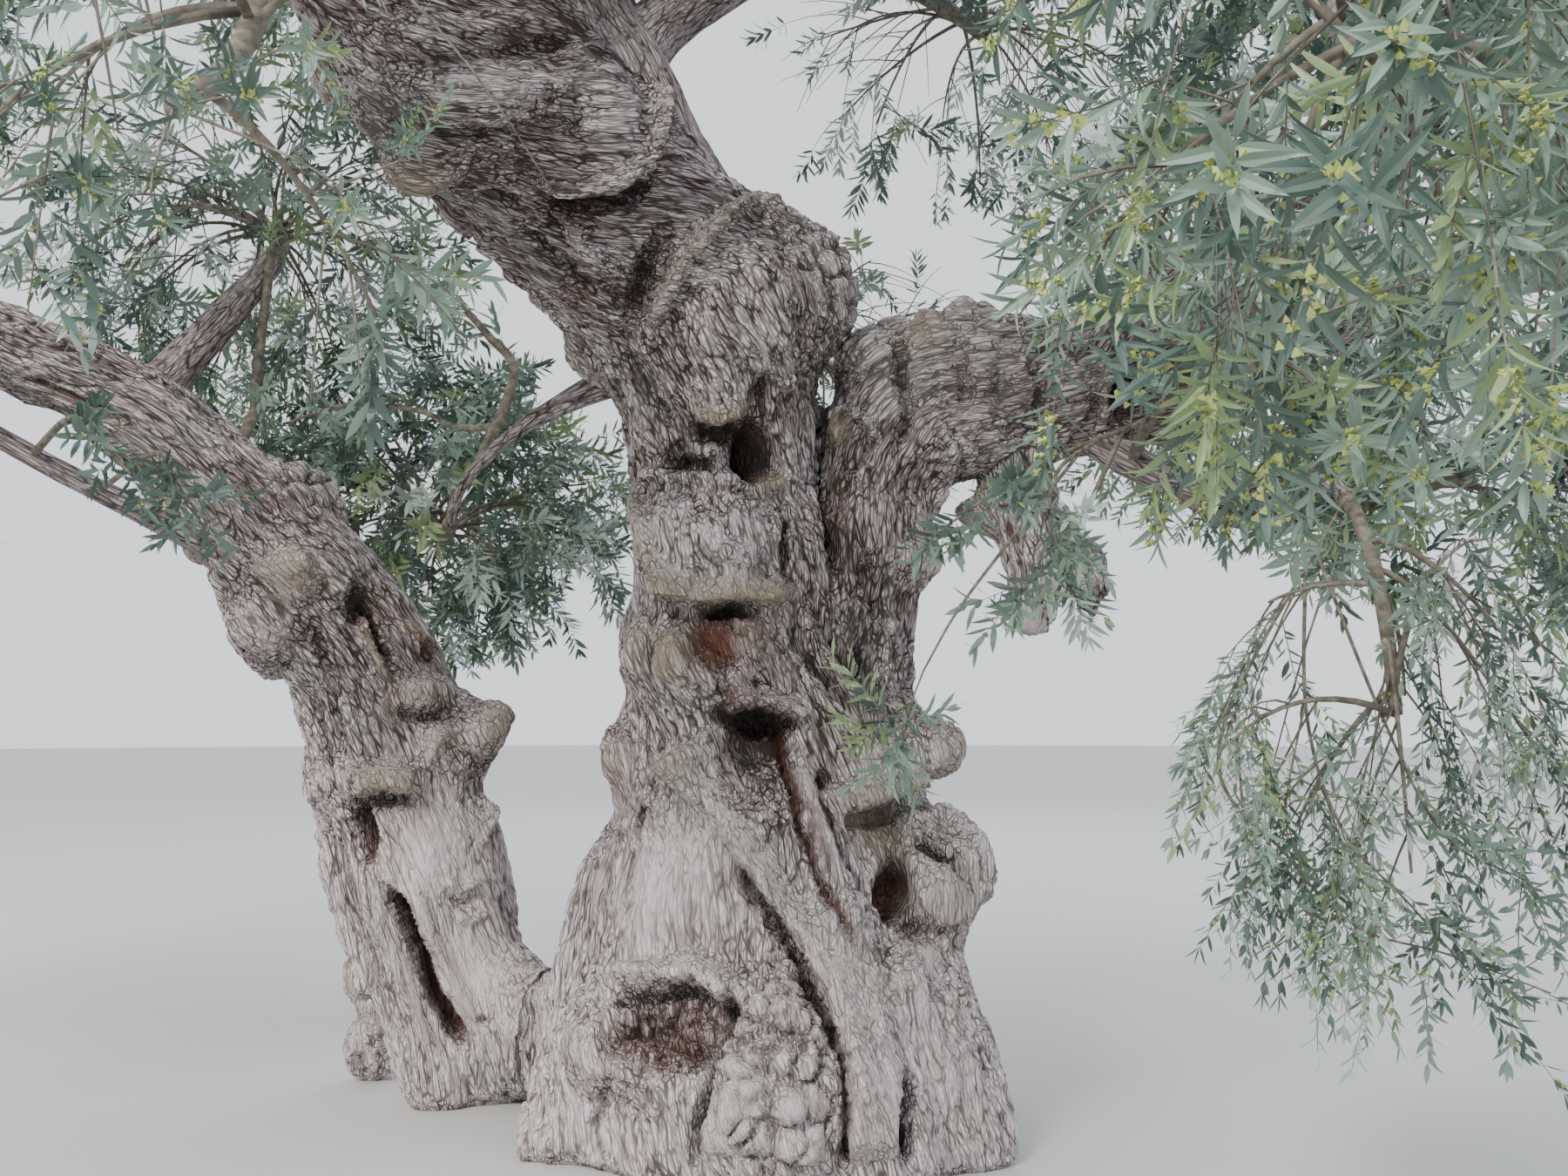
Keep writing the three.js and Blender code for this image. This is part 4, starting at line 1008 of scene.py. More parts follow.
def carveUnseen():
    random = np.random.default_rng(unseen["seed"])

    def drawn(span):
        return random.uniform(*span) if isinstance(span, tuple) else span

    sight = places - np.array(cameraPlace)
    away = (normals * sight).sum(axis=1) > unseen["facing"] * np.linalg.norm(sight, axis=1)
    hidden = np.nonzero(away & (places[:, 2] > unseen["from"]))[0]
    for number, width, tallness, height, flatness, given, rim in unseen["bumps"]:
        for i in random.choice(hidden, number, replace=False):
            wide = drawn(width)
            tall = wide * drawn(tallness)
            outward = wide * drawn(height) * (-1 if rim else 1)
            worn = {name: drawn(span) for name, span in given.items()}
            bump(places[i], normals[i], wide, tall, outward, drawn(flatness), worn, rim)
    for i in random.choice(hidden, unseen["folds"], replace=False):
        limb = thickLimbs[limbNames[limbOf[i]]]
        near = ((limb["points"] - places[i]) ** 2).sum(axis=1).argmin()
        along = limb["along"][near] + random.normal(0, 0.3, 3)
        run = drawn(unseen["foldLength"])
        line = [places[i] + along * run * (t - 0.5) for t in np.linspace(0, 1, 6)]
        found = [baseTree.find_nearest(Vector(p)) for p in line]
        width = drawn(unseen["foldWidth"])
        height = random.choice([-1, 1, 1]) * drawn(unseen["foldRise"])
        worn = {"smooth": drawn(unseen["foldSmooth"])}
        stroke([f[0] for f in found], [f[1] for f in found], width, height, unseen["foldTaper"], worn)


carveUnseen()
print("sides and back carved")

# Burls: lumps of about a hand's width with cracks between them
burl = {
    "lumps": 10.5,  # how many to a metre
    "stray": 0.8,
    "lumpHeight": 0.050,
    "crackDepth": 0.035,
    "crackWidth": 0.22,
    "darkWidth": 0.2,
}
lumpPlace = places * burl["lumps"] + burl["stray"] * drift(places, 9, (5, 25, 45))
nearest, second = cells(lumpPlace, 8)
lumps = burl["lumpHeight"] * (0.45 - nearest)
lumps -= burl["crackDepth"] * (1 - smoothStep(second - nearest, 0.0, burl["crackWidth"]))
rise += np.clip(tones["knotted"], 0, 1) * lumps
# Painted shade: the cracks between burls are also darkened in the bark's tones
lumpCracks = np.clip(tones["knotted"], 0, 1) * (1 - smoothStep(second - nearest, 0.0, burl["darkWidth"]))

# The carved form, then the bark's furrows. The foot stays flat: only above these heights do places move up or
# down in full, bear furrows, and stand off the ground.
footHeights = {"moves": 0.12, "furrows": 0.02, "level": 0.012}
moved = normals * rise[:, None] + push
moved[:, 2] *= smoothStep(places[:, 2], 0.0, footHeights["moves"])
carved = places + moved
normals = quadNormals(carved, quads)
grain = grainAt(carved)
furrowHeight, furrowNumber = skin["furrows"]
gritHeight, gritNumber = skin["grit"]
nearest, second = cells(grain * furrowNumber + 1.3 * drift(grain, 14, (1, 7, 13)), 3)
crack = 1 - smoothStep(second - nearest, *skin["crackWidths"])
grit = noise.layered(grain * gritNumber, 2)
calm = np.clip(tones["calm"] + 0.75 * tones["smooth"] + 0.5 * tones["rust"], 0, 1)
depth = (1 - 0.8 * calm) * (0.55 + 0.9 * noise(places * 1.7))
furrows = depth * (furrowHeight * (0.45 - crack) + gritHeight * (grit - 0.5))
furrows[places[:, 2] < footHeights["furrows"]] = 0
carved = carved + normals * furrows[:, None]
carved[:, 2] = np.maximum(carved[:, 2], 0)
carved[places[:, 2] < footHeights["level"], 2] = 0
normals = quadNormals(carved, quads)

# How far a place stands out from its surroundings, for the bark's tones. It paints shade and light: cracks,
# the cracks between burls, sunken places and places marked dark come out darker as painted shade, and raised
# places come out paler, partly as worn faces and partly as painted light.
standing = {
    "usual": 0.60, "crack": 0.20, "grit": 0.25, "burls": 0.45, "dark": 0.50,
    "rise": 3.4, "limits": (-0.6, 0.26),
}
relief = standing["usual"] - standing["crack"] * crack * depth + standing["grit"] * (grit - 0.5)
relief += np.clip(rise * standing["rise"], *standing["limits"])
# Painted shade in the cracks between burls and in places marked dark
relief -= standing["burls"] * lumpCracks + standing["dark"] * np.clip(tones["dark"], 0, 1)
relief = np.clip(relief, 0, 1)
# Painted light and shade: places that face the sky are painted lighter, and the boughs up under the crown are
# painted darker as shade. The foot is paler, partly as weathering and partly as painted light. The patches
# and streaks are the bark's own stains.
paintedLightAndWeather = {
    # amount, the height where it begins and the height where it is full
    "heights": [(0.85, 1.75, 0.85), (0.3, 0.8, 0.25), (0.2, 1.2, 1.7), (-0.35, 2.0, 2.7)],
    "sky": 0.35,
    "patches": (0.7, 3.1),  # amount, and how many to a metre
    "streaks": (1.5, (8, 8, 1.3)),  # the same for the dark and pale streaks that rain leaves down the grain
}
# Painted light: places that face up are lighter
light = paintedLightAndWeather["sky"] * np.clip(normals[:, 2], -0.3, 1)
# Painted shade and weathering: paler towards the foot and darker up in the boughs
for amount, begin, full in paintedLightAndWeather["heights"]:
    light += amount * smoothStep(places[:, 2], begin, full)
amount, number = paintedLightAndWeather["patches"]
light += amount * (noise.layered(places * number + 40, 2) - 0.5)
amount, number = paintedLightAndWeather["streaks"]
light += amount * (noise.layered(grain * number + 60, 3) - 0.5)
print("furrows cut")


# The bark as pieces. Each border is closed inside the wood by a fan, and the normals are the whole skin's.

def borderLoops(faces):
    first = faces.ravel().astype(np.int64)
    second = np.roll(faces, -1, axis=1).ravel()
    count = int(faces.max()) + 1
    alone = ~np.isin(first * count + second, second.astype(np.int64) * count + first)
    following = {}
    for a, b in zip(first[alone].tolist(), second[alone].tolist()):
        following.setdefault(a, []).append(b)
    loops = []
    while following:
        loop, current = [], next(iter(following))
        while current in following:
            loop.append(current)
            onward = following[current].pop()
            if not following[current]:
                del following[current]
            current = onward
        loops.append(loop)
    return loops


# Gives the points of a mesh a value each: whole numbers, real ones or, where the data has columns, vectors
def addAttribute(mesh, name, data):
    kind, field, number = "FLOAT", "value", np.float32
    if data.ndim == 2:
        kind, field = "FLOAT_VECTOR", "vector"
    elif data.dtype.kind == "i":
        kind, number = "INT", np.int32
    mesh.attributes.new(name, kind, "POINT").data.foreach_set(field, data.astype(number).ravel())


def makeMesh(name, points, faces=()):
    mesh = bpy.data.meshes.new(name)
    mesh.from_pydata(points.tolist(), [], faces)
    return mesh


# Puts a mesh on the tree in place of the solids that it stands for
def placePiece(name, mesh, replaced):
    piece = addObject(name, mesh)
    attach(piece, "root")
    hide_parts(*replaced)


def roundPiece(name, points, faces, material, replaced, values=None, pointNormals=None):
    mesh = makeMesh(name, points, faces)
    for key, data in (values or {}).items():
        addAttribute(mesh, key, data)
    mesh.polygons.foreach_set("use_smooth", np.ones(len(mesh.polygons), bool))
    mesh.materials.append(material)
    if pointNormals is not None:
        mesh.normals_split_custom_set_from_vertices(pointNormals.tolist())
    mesh.update()
    placePiece(name, mesh, replaced)


def barkPiece(name, chosen, replaced):
    used, compact = np.unique(quads[chosen], return_inverse=True)
    faces = compact.reshape(-1, 4)
    loops = borderLoops(faces)
    points, pointNormals = carved[used], normals[used]
    values = {"relief": relief[used], "light": light[used], "grain": grain[used]}
    values.update({key: np.clip(tone[used], 0, 1) for key, tone in tones.items()})
    caps = []
    for loop in loops:
        centre = len(points)
        points = np.vstack([points, points[loop].mean(axis=0)])
        pointNormals = np.vstack([pointNormals, (0, 0, 1)])
        values = {key: np.append(value, value[loop[:1]], axis=0) for key, value in values.items()}
        caps += [(b, a, centre) for a, b in zip(loop, loop[1:] + loop[:1])]
    roundPiece(
        name, points, faces.tolist() + caps, materials["bark"], replaced, values, pointNormals,
    )
    print(name, "has", 2 * len(faces) + len(caps), "triangles and", len(loops), "borders")


# Heights where one piece of bark ends and the next begins
borders = {"waist": 0.75, "right": 2.05, "upper": 2.35, "left": 1.75}
faceHeight = places[quads, 2].mean(axis=1)
faceLimb = limbOf[quads[:, 0]]
isLeft = faceLimb == limbNames.index("left")
isPruned = faceLimb >= limbNames.index("pruned_stub")
isRight = (faceLimb == limbNames.index("right")) & (faceHeight > borders["right"])
isUpper = (faceLimb == limbNames.index("upper")) & (faceHeight > borders["upper"])
isTrunk = ~(isLeft | isPruned | isRight | isUpper)
barkPiece("trunk_foot_bark", isTrunk & (faceHeight < borders["waist"]), ["main_trunk"])
barkPiece("trunk_waist_bark", isTrunk & (faceHeight >= borders["waist"]), ["main_trunk"])
barkPiece("upper_bough_bark", isUpper, ["upper_bough"])
barkPiece("right_bough_bark", isRight, ["right_bough"])
barkPiece("second_trunk_bark", isLeft & (faceHeight < borders["left"]), ["second_trunk"])
barkPiece("left_bough_bark", isLeft & (faceHeight >= borders["left"]), ["left_bough"])
barkPiece("pruned_stub_bark", isPruned, ["pruned_stub", "pruned_prong"])
print("bark pieces made")


# Tubes: thin boughs, twigs and shoots, each closed at both ends. All lines of one kind become one mesh.

# A limb that stands takes its first side across, one that lies takes it upwards.
def tubeArrays(line, sides, bumpiness=0.0, seed=0):
    stands = abs(line[1, 2] - line[0, 2]) > 0.3 * abs(line[1, 0] - line[0, 0])
    frames = limbFrames(line, (1, 0, 0) if stands else (0, 0, 1))
    angles = np.linspace(0, 2 * np.pi, sides, endpoint=False)
    cosine, sine = np.cos(angles)[None], np.sin(angles)[None]
    ring = cosine[:, :, None] * frames["side"][:, None] + sine[:, :, None] * frames["other"][:, None]
    radii = np.repeat(line[:, 3][:, None], sides, axis=1)
    length = np.repeat(frames["length"][:, None], sides, axis=1)
    if bumpiness:
        swellPlace = np.stack([0 * length + cosine * 2.2, 0 * length + sine * 2.2, length * 3.2], axis=2)
        swell = noise.layered(swellPlace.reshape(-1, 3) + seed, 3).reshape(len(line), sides) - 0.5
        radii = radii * (1 + 2 * bumpiness * swell)
    points = (frames["points"][:, None] + ring * radii[:, :, None]).reshape(-1, 3)
    flat = np.stack([radii * cosine, radii * sine, length], axis=2).reshape(-1, 3)
    rows, columns = np.meshgrid(np.arange(len(line) - 1), np.arange(sides), indexing="ij")
    a, b = rows * sides + columns, rows * sides + (columns + 1) % sides
    faces = np.stack([a, b, b + sides, a + sides], axis=2).reshape(-1, 4).tolist()
    last = len(points)
    points = np.vstack([points, line[0, :3], line[-1, :3]])
    flat = np.vstack([flat, flat[0] * (0, 0, 1), flat[-1] * (0, 0, 1)])
    end = (len(line) - 1) * sides
    faces += [((i + 1) % sides, i, last) for i in range(sides)]
    faces += [(end + i, end + (i + 1) % sides, last + 1) for i in range(sides)]
    return points, faces, flat


# Joins parts, each of them its points, its faces and, for a tube, its places in the grain's space
def joinArrays(parts):
    faces, count = [], 0
    for part in parts:
        faces += [tuple(count + i for i in face) for face in part[1]]
        count += len(part[0])
    more = zip(*(part[2:] for part in parts))
    return (np.vstack([part[0] for part in parts]), faces, *[np.vstack(rows) for rows in more])


def resample(line, step):
    length = np.concatenate([[0], np.cumsum(np.linalg.norm(np.diff(line[:, :3], axis=0), axis=1))])
    at = np.linspace(0, length[-1], max(3, int(length[-1] / step) + 1))
    return np.stack([np.interp(at, length, line[:, i]) for i in range(line.shape[1])], axis=1)


# Thin boughs, swept along their own lines from inside the limb that carries each
thinBoughs = {
    "sides": 16,
    "step": 0.024,
    "bumpiness": 0.13,
    "fatter": 1.04,
    "collar": (0.5, 0.06),  # how much thicker the foot is, and the share of the length that this fades over
    "wander": 0.35,  # how far the line strays, as a share of the radius
    "slender": {"side_branch": 0.5, "left_low_branch": 0.25},  # how much thinner than the solid these run out
    "tones": {"light": -0.1, "calm": 0.15, "smooth": 0.0, "rust": 0.0, "pale": 0.0},
}
thinNames = [name for name in boughs if name not in ("pruned_stub", "pruned_prong")]


def thinBoughPiece(name, names):
    parts = []
    for index, limb in enumerate(names):
        line = resample(lines[limb], thinBoughs["step"])
        share = np.linspace(0, 1, len(line))
        collar, fading = thinBoughs["collar"]
        line[:, 3] *= thinBoughs["fatter"]
        line[:, 3] *= 1 + collar * np.exp(-share / fading)
        line[:, 3] *= 1 - thinBoughs["slender"].get(limb, 0) * smoothStep(share, 0.1, 0.55)
        wander = drift(line[:, :3], 2.6, [seed + index for seed in (3, 50, 90)], 2)
        fade = np.minimum(1, 5 * np.minimum(share, share[::-1]))
        line[:, :3] += wander * thinBoughs["wander"] * line[:, 3:4] * fade[:, None]
        parts.append(tubeArrays(line, thinBoughs["sides"], thinBoughs["bumpiness"], 7.7 * index))
    points, faces, flat = joinArrays(parts)
    values = {"relief": 0.36 + 0.3 * noise.layered(points * 9, 2), "grain": flat}
    values.update({key: np.full(len(points), value) for key, value in thinBoughs["tones"].items()})
    roundPiece(name, points, faces, materials["bark"], names, values)
    print(name, "has", len(faces), "faces")


rearNames = [name for name in thinNames if lines[name][-1, 1] > 0.1]
thinBoughPiece("rear_boughs_bark", rearNames)
thinBoughPiece("front_boughs_bark", [name for name in thinNames if name not in rearNames])
print("thin boughs made")


# Foliage. Each mass grows as in the solids: a stem goes on from its bough to the mass's middle and twigs fan
# out to the mass's reach at golden-angle headings. Here each twig also bears side shoots, and each shoot ends
# in leafy sprays. A mass is the limb that it grows on, its middle and its reach, in millimetres.

masses = {
    "crown_top": ("crown_top_bough", (-600, -300, 5950), (1300, 1200, 800)),
    "upper_left": ("upper_left_bough", (-2650, -950, 4900), (1150, 1100, 820)),
    "front_left": ("front_left_bough", (-1650, -2900, 4100), (1100, 1000, 800)),
    "front_top": ("front_top_bough", (500, -2400, 4850), (1200, 1100, 800)),
    "near_left": ("near_left_bough", (-950, -3150, 2500), (650, 900, 520)),
    "rear_top_left": ("rear_left_bough", (-1750, 1600, 5100), (1150, 1100, 820)),
    "rear_top_right": ("rear_right_bough", (1100, 1900, 4900), (1150, 1100, 820)),
    "rear_mid": ("rear_mid_bough", (300, 3050, 3500), (1000, 850, 780)),
    "top_right": ("top_right_bough", (1100, -300, 5600), (1100, 1100, 780)),
    "right_top": ("right_top_bough", (2700, 500, 4700), (1100, 1100, 800)),
    "right_end": ("right_end_bough", (4050, 150, 3400), (850, 1100, 850)),
    "rear_right": ("rear_right_low_bough", (2500, 2300, 3300), (1100, 950, 820)),
    "right_front": ("right_front_bough", (2750, -2050, 3600), (1000, 950, 800)),
    "right_mid": ("right_mid_bough", (1700, -1150, 3150), (650, 600, 550)),
    "right_low": ("right_low_branch", (2500, -500, 2400), (850, 700, 480)),
    "near_right": ("near_right_bough", (950, -3350, 2500), (650, 950, 620)),
    "hanging_shoots": ("weeping_branch", (1700, -1500, 1500), (560, 460, 620)),
    "left_top": ("left_top_bough", (-3950, 200, 4250), (1000, 1100, 800)),
    "left_end": ("left", (-4400, -900, 3100), (800, 950, 820)),
    "left_rear": ("left_rear_bough", (-2600, 1750, 3850), (1100, 1000, 880)),
    "left_low": ("left_low_branch", (-3300, -900, 2350), (700, 650, 520)),
    "rear_low_left": ("side_branch", (-1700, 1900, 2550), (1050, 850, 700)),
}
massNames = list(masses)
regions = {
    "left": ["left_top", "left_end", "left_rear", "left_low"],
    "rear_left": ["rear_top_left", "rear_low_left", "rear_mid"],
    "rear_right": ["rear_top_right", "rear_right"],
    "top": ["crown_top", "upper_left", "top_right"],
    "right": ["right_top", "right_end", "right_low", "hanging_shoots"],
    "front": ["front_left", "front_top", "right_front", "right_mid"],
    "near": ["near_left", "near_right"],
}
# Where a value is drawn, a pair is the least and how much more it may be.
growth = {
    "above": 0.07,  # how far the twigs may rise over the solids
    "over": 0.03,  # the same for the sprays' tips
    "twigs": 17,  # on a mass whose reaches, multiplied two by two, add up to the surface
    "surface": 2.6,
    "shoots": 6,  # on each twig
    "sprays": 4,  # on each shoot
    "goldenAngle": math.pi * (3 - math.sqrt(5)),
    "turn": (0, 0.6),  # how far a twig's heading turns on from the golden angle
    "sunk": 0.03,  # how deep in its bough a stem starts
    "steps": {"stem": 14, "twig": 9, "shoot": 4},
    "sides": {"stem": 9, "twig": 5, "shoot": 3},
    "twigReach": (0.68, 0.22),  # where a twig ends, as a share of the mass's reach
    "twigFoot": (0.35, 0.6),  # where it leaves the stem, as a share of its length
    "twigWaver": 0.06,
    "lift": 0.12,
    "shootFrom": 0.38,  # share of a twig that bears no shoots
    "shootWays": (0.6, 0.75, 0.25),  # how far a shoot heads along its twig, aside and outwards
    "shootStray": 0.8,  # how far a shoot's foot strays, as a share of the space between shoots
    "shootReach": 0.97,
    "shootArch": 0.14,
    "stemEnd": 0.019,
    "twigRadii": (0.011, 0.004),
    "shootRadii": (0.0042, 0.0016),
    "shootLength": (0.30, 0.62),  # least and most
    "droop": 0.35,
    "weeping": 2.6,  # how many times more a weeping shoot droops
    "scatter": 0.75,
    "sprayAt": (0.25, 0.7),  # where on its shoot a spray stands
    "sag": (0.2, 0.8),  # how far a spray turns down, and how much more a weeping one does
    "spraySizes": (0.8, 1.2),  # least and most
    "leafLength": 0.072,
    "leafWidth": 0.0165,
    "sprayLength": 0.21,
    "clearance": 0.07,
}
# How thickly some masses grow, where a usual one is 1
thickness = {
    "near_left": 0.5, "near_right": 1.15, "rear_low_left": 2.1, "left_rear": 1.5, "rear_top_left": 1.2,
    "rear_mid": 1.25, "right_low": 1.3, "right_mid": 1.2, "right_front": 1.15, "hanging_shoots": 1.3,
    "front_left": 0.9,
}
# Corners of the sky that shows between the boughs, in the picture's pixels. Few sprays grow across it.
skyWindows = [
    # share of the sprays kept, outline
    (0.12, [(770, 0), (1120, 0), (1060, 70), (985, 120), (990, 250), (1120, 300), (1120, 372), (1010, 365),
            (955, 400), (930, 330), (905, 250), (800, 190), (775, 120)]),
    (0.45, [(1120, 0), (1330, 0), (1290, 110), (1190, 180), (1130, 290), (990, 250), (985, 120), (1060, 70)]),
    (0.40, [(60, 0), (380, 0), (350, 110), (430, 210), (300, 300), (150, 330), (70, 200)]),
    (0.60, [(0, 0), (60, 0), (70, 200), (150, 330), (300, 300), (430, 210), (560, 300), (420, 420),
            (150, 380), (0, 350)]),
]
# Outlines of the limbs that nothing hides in the picture: the trunk with its upper bough and the right stem,
# and the second stem. Hardly any sprays in front of the depth given grow across them.
clearLimbs = [
    [(390, 200), (400, 0), (690, 0), (775, 90), (780, 180), (905, 260), (935, 330), (945, 440), (985, 370),
     (1190, 380), (1185, 500), (1090, 600), (1060, 760), (1080, 1350), (600, 1350), (640, 1060), (715, 830),
     (715, 560), (690, 420), (560, 300), (520, 215)],
    [(30, 400), (180, 430), (360, 620), (520, 780), (580, 850), (640, 1150), (600, 1270), (430, 1240),
     (350, 900), (270, 740), (240, 640), (130, 520), (30, 480)],
]
clearKept = {"share": 0.03, "depth": 0.1}
# Sprays closer to the camera than this hang only across the top of the picture: down to one row of its pixels
# left of the column given, and down to another right of it.
closeSprays = {"distance": 3.3, "column": 750, "rows": (330, 640)}
# What the sprays' tips keep to: how far past the solids' box as a share of its size, the room that a tip's
# leaves take, and the height over the ground
bounds = {"past": 0.02, "leaf": 0.06, "ground": 0.1}
seeds = {"masses": 100, "spared": 9, "shown": 41, "sprays": 1000, "tints": 77}
eye = np.array(view["place"])


def curve(start, control, end, steps):
    t = np.linspace(0, 1, steps + 1)[:, None]
    return (1 - t) ** 2 * start + 2 * t * (1 - t) * control + t ** 2 * end


def withRadii(points, first, last):
    return np.hstack([points, np.linspace(first, last, len(points))[:, None]])


limbSamples = np.vstack([resample(limb, 0.08) for limb in lines.values()] + [resample(trunkLine, 0.08)])


# How far each place is outside the wood
def woodGap(points):
    gaps = np.sqrt(((points[:, None] - limbSamples[None, :, :3]) ** 2).sum(axis=2)) - limbSamples[None, :, 3]
    return gaps.min(axis=1)


def pixelsOf(points):
    offset = points - eye
    depth = offset[:, 1] * math.cos(pitch) + offset[:, 2] * math.sin(pitch)
    above = -offset[:, 1] * math.sin(pitch) + offset[:, 2] * math.cos(pitch)
    depth = np.maximum(depth, 0.01)
    x = view["picture"][0] / 2 + pixelsToLens * offset[:, 0] / depth
    y = view["picture"][1] / 2 - pixelsToLens * above / depth
    return np.stack([x, y], axis=1)


def insidePolygon(pixels, corners):
    inside = np.zeros(len(pixels), bool)
    for (x0, y0), (x1, y1) in zip(corners, corners[1:] + corners[:1]):
        crosses = (y0 > pixels[:, 1]) != (y1 > pixels[:, 1])
        at = x0 + (pixels[:, 1] - y0) * (x1 - x0) / (y1 - y0 if y1 != y0 else 1e-9)
        inside ^= crosses & (pixels[:, 0] < at)
    return inside


def upTo(random, pair):
    return pair[0] + pair[1] * random.random()


# The stem goes on from its bough's tip to the middle of the mass.
def growStem(bough, middle):
    along = unit(bough[-1, :3] - bough[-2, :3])
    foot = bough[-1, :3] - along * growth["sunk"]
    bend = foot + along * 0.5 * np.linalg.norm(foot - middle)
    return curve(foot, bend, middle, growth["steps"]["stem"])


def growTwig(random, stem, middle, reach, outward):
    end = middle + outward * reach * upTo(random, growth["twigReach"])
    start = stem[int(len(stem) * upTo(random, growth["twigFoot"]))]
    run = np.linalg.norm(end - start)
    control = (start + end) / 2 + np.array((0, 0, 2 * growth["lift"] * run))
    control += random.normal(0, growth["twigWaver"], 3) * run
    return curve(start, control, end, growth["steps"]["twig"])


def growShoot(random, twig, number, middle, reach, outward, weeping):
    first = growth["shootFrom"]
    stray = random.random() * growth["shootStray"]
    share = first + (1 - first) * (number + stray) / growth["shoots"]
    begin, ahead = lineAt(twig, share), headingAt(twig, share)
    aside = random.normal(0, 1, 3)
    aside = unit(aside - ahead * (aside @ ahead))
    on, off, out = growth["shootWays"]
    direction = unit(ahead * on + aside * off + outward * out)
    length = random.uniform(*growth["shootLength"]) * min(1, 0.55 + 0.45 * reach.mean())
    droop = growth["droop"] * (growth["weeping"] if weeping else 1)
    end = begin + direction * length + np.array((0, 0, -droop * length * (0.5 + random.random())))
    inside = (((end - middle) / reach) ** 2).sum() ** 0.5
    if inside > growth["shootReach"]:
        end = middle + (end - middle) * growth["shootReach"] / inside
    bend = (begin + end) / 2 + np.array((0, 0, growth["shootArch"] * length))
    return curve(begin, bend, end, growth["steps"]["shoot"])


# The sprays of one shoot, the first at its tip: place, direction and size
def growSprays(random, shoot, weeping):
    found = []
    final = unit(shoot[-1] - shoot[-2])
    down, more = growth["sag"]
    sag = np.array((0, 0, -down - more * weeping))
    begin, run = growth["sprayAt"]
    for k in range(growth["sprays"]):
        share = begin + run * (k - 1 + random.random()) / (growth["sprays"] - 1) if k else 1.0
        aim = unit(final + random.normal(0, growth["scatter"] if k else 0, 3) + sag)
        found.append((*lineAt(shoot, share), *aim, random.uniform(*growth["spraySizes"])))
    return found


# Grows one mass: its woody lines, and its sprays as rows of place, direction, size, mass and shoot.
def growMass(index, name):
    parent, middle, reach = masses[name]
    random = np.random.default_rng(seeds["masses"] + index)
    middle, reach = np.array(middle) / 1000, np.array(reach) / 1000
    weeping = name == "hanging_shoots"
    stem = growStem(lines[parent], middle)
    wood = [("stem", withRadii(stem, lines[parent][-1, 3] * 0.97, growth["stemEnd"]))]
    sprays = []
    surface = reach[0] * reach[1] + reach[0] * reach[2] + reach[1] * reach[2]
    count = round(growth["twigs"] * thickness.get(name, 1) * surface / growth["surface"])
    for i in range(count):
        level = 1 - 2 * (i + 0.5) / count
        heading = i * growth["goldenAngle"] + upTo(random, growth["turn"])
        ring = math.sqrt(1 - level * level)
        outward = np.array((ring * math.cos(heading), ring * math.sin(heading), level))
        twig = growTwig(random, stem, middle, reach, outward)
        wood.append(("twig", withRadii(twig, *growth["twigRadii"])))
        for number in range(growth["shoots"]):
            shoot = growShoot(random, twig, number, middle, reach, outward, weeping)
            wood.append(("shoot", withRadii(shoot, *growth["shootRadii"])))
            sprays += [(*spray, index, len(wood)) for spray in growSprays(random, shoot, weeping)]
    for kind, line in wood:
        line[:, 2] = np.minimum(line[:, 2], cadBox[1][2] + growth["above"])
    return wood, sprays


woodLines, sprayRows = {}, []
for index, name in enumerate(masses):
    woodLines[name], rows = growMass(index, name)
    sprayRows += rows
sprayTable = np.array(sprayRows)
feet = sprayTable[:, :3]
tips = feet + sprayTable[:, 3:6] * (sprayTable[:, 6:7] * growth["sprayLength"])


# Which sprays to keep
def sparedSprays():
    low, high = np.array(cadBox[0]), np.array(cadBox[1])
    margin = bounds["past"] * (high - low)
    kept = ((tips > low - margin + bounds["leaf"]) & (tips < high + margin - bounds["leaf"])).all(axis=1)
    kept &= tips[:, 2] > bounds["ground"]
    kept &= np.maximum(tips[:, 2], feet[:, 2]) < high[2] + growth["over"]
    kept &= np.concatenate([woodGap(part) for part in np.array_split(tips, 12)]) > growth["clearance"]
    chance = np.random.default_rng(seeds["spared"]).random(len(tips))
    tipPixels, footPixels = pixelsOf(tips), pixelsOf(feet)

    def across(outline):
        return insidePolygon(tipPixels, outline) | insidePolygon(footPixels, outline)

    for share, outline in skyWindows:
        kept &= ~(across(outline) & (chance > share))
    for outline in clearLimbs:
        kept &= ~(across(outline) & (tips[:, 1] < clearKept["depth"]) & (chance > clearKept["share"]))
    close = np.linalg.norm(tips - eye, axis=1) < closeSprays["distance"]
    lowest = np.where(tipPixels[:, 0] < closeSprays["column"], *closeSprays["rows"])
    return kept & ~(close & (tipPixels[:, 1] > lowest))


sprayTable = sprayTable[sparedSprays()]
print("sprays:", len(sprayTable), "of", len(tips))


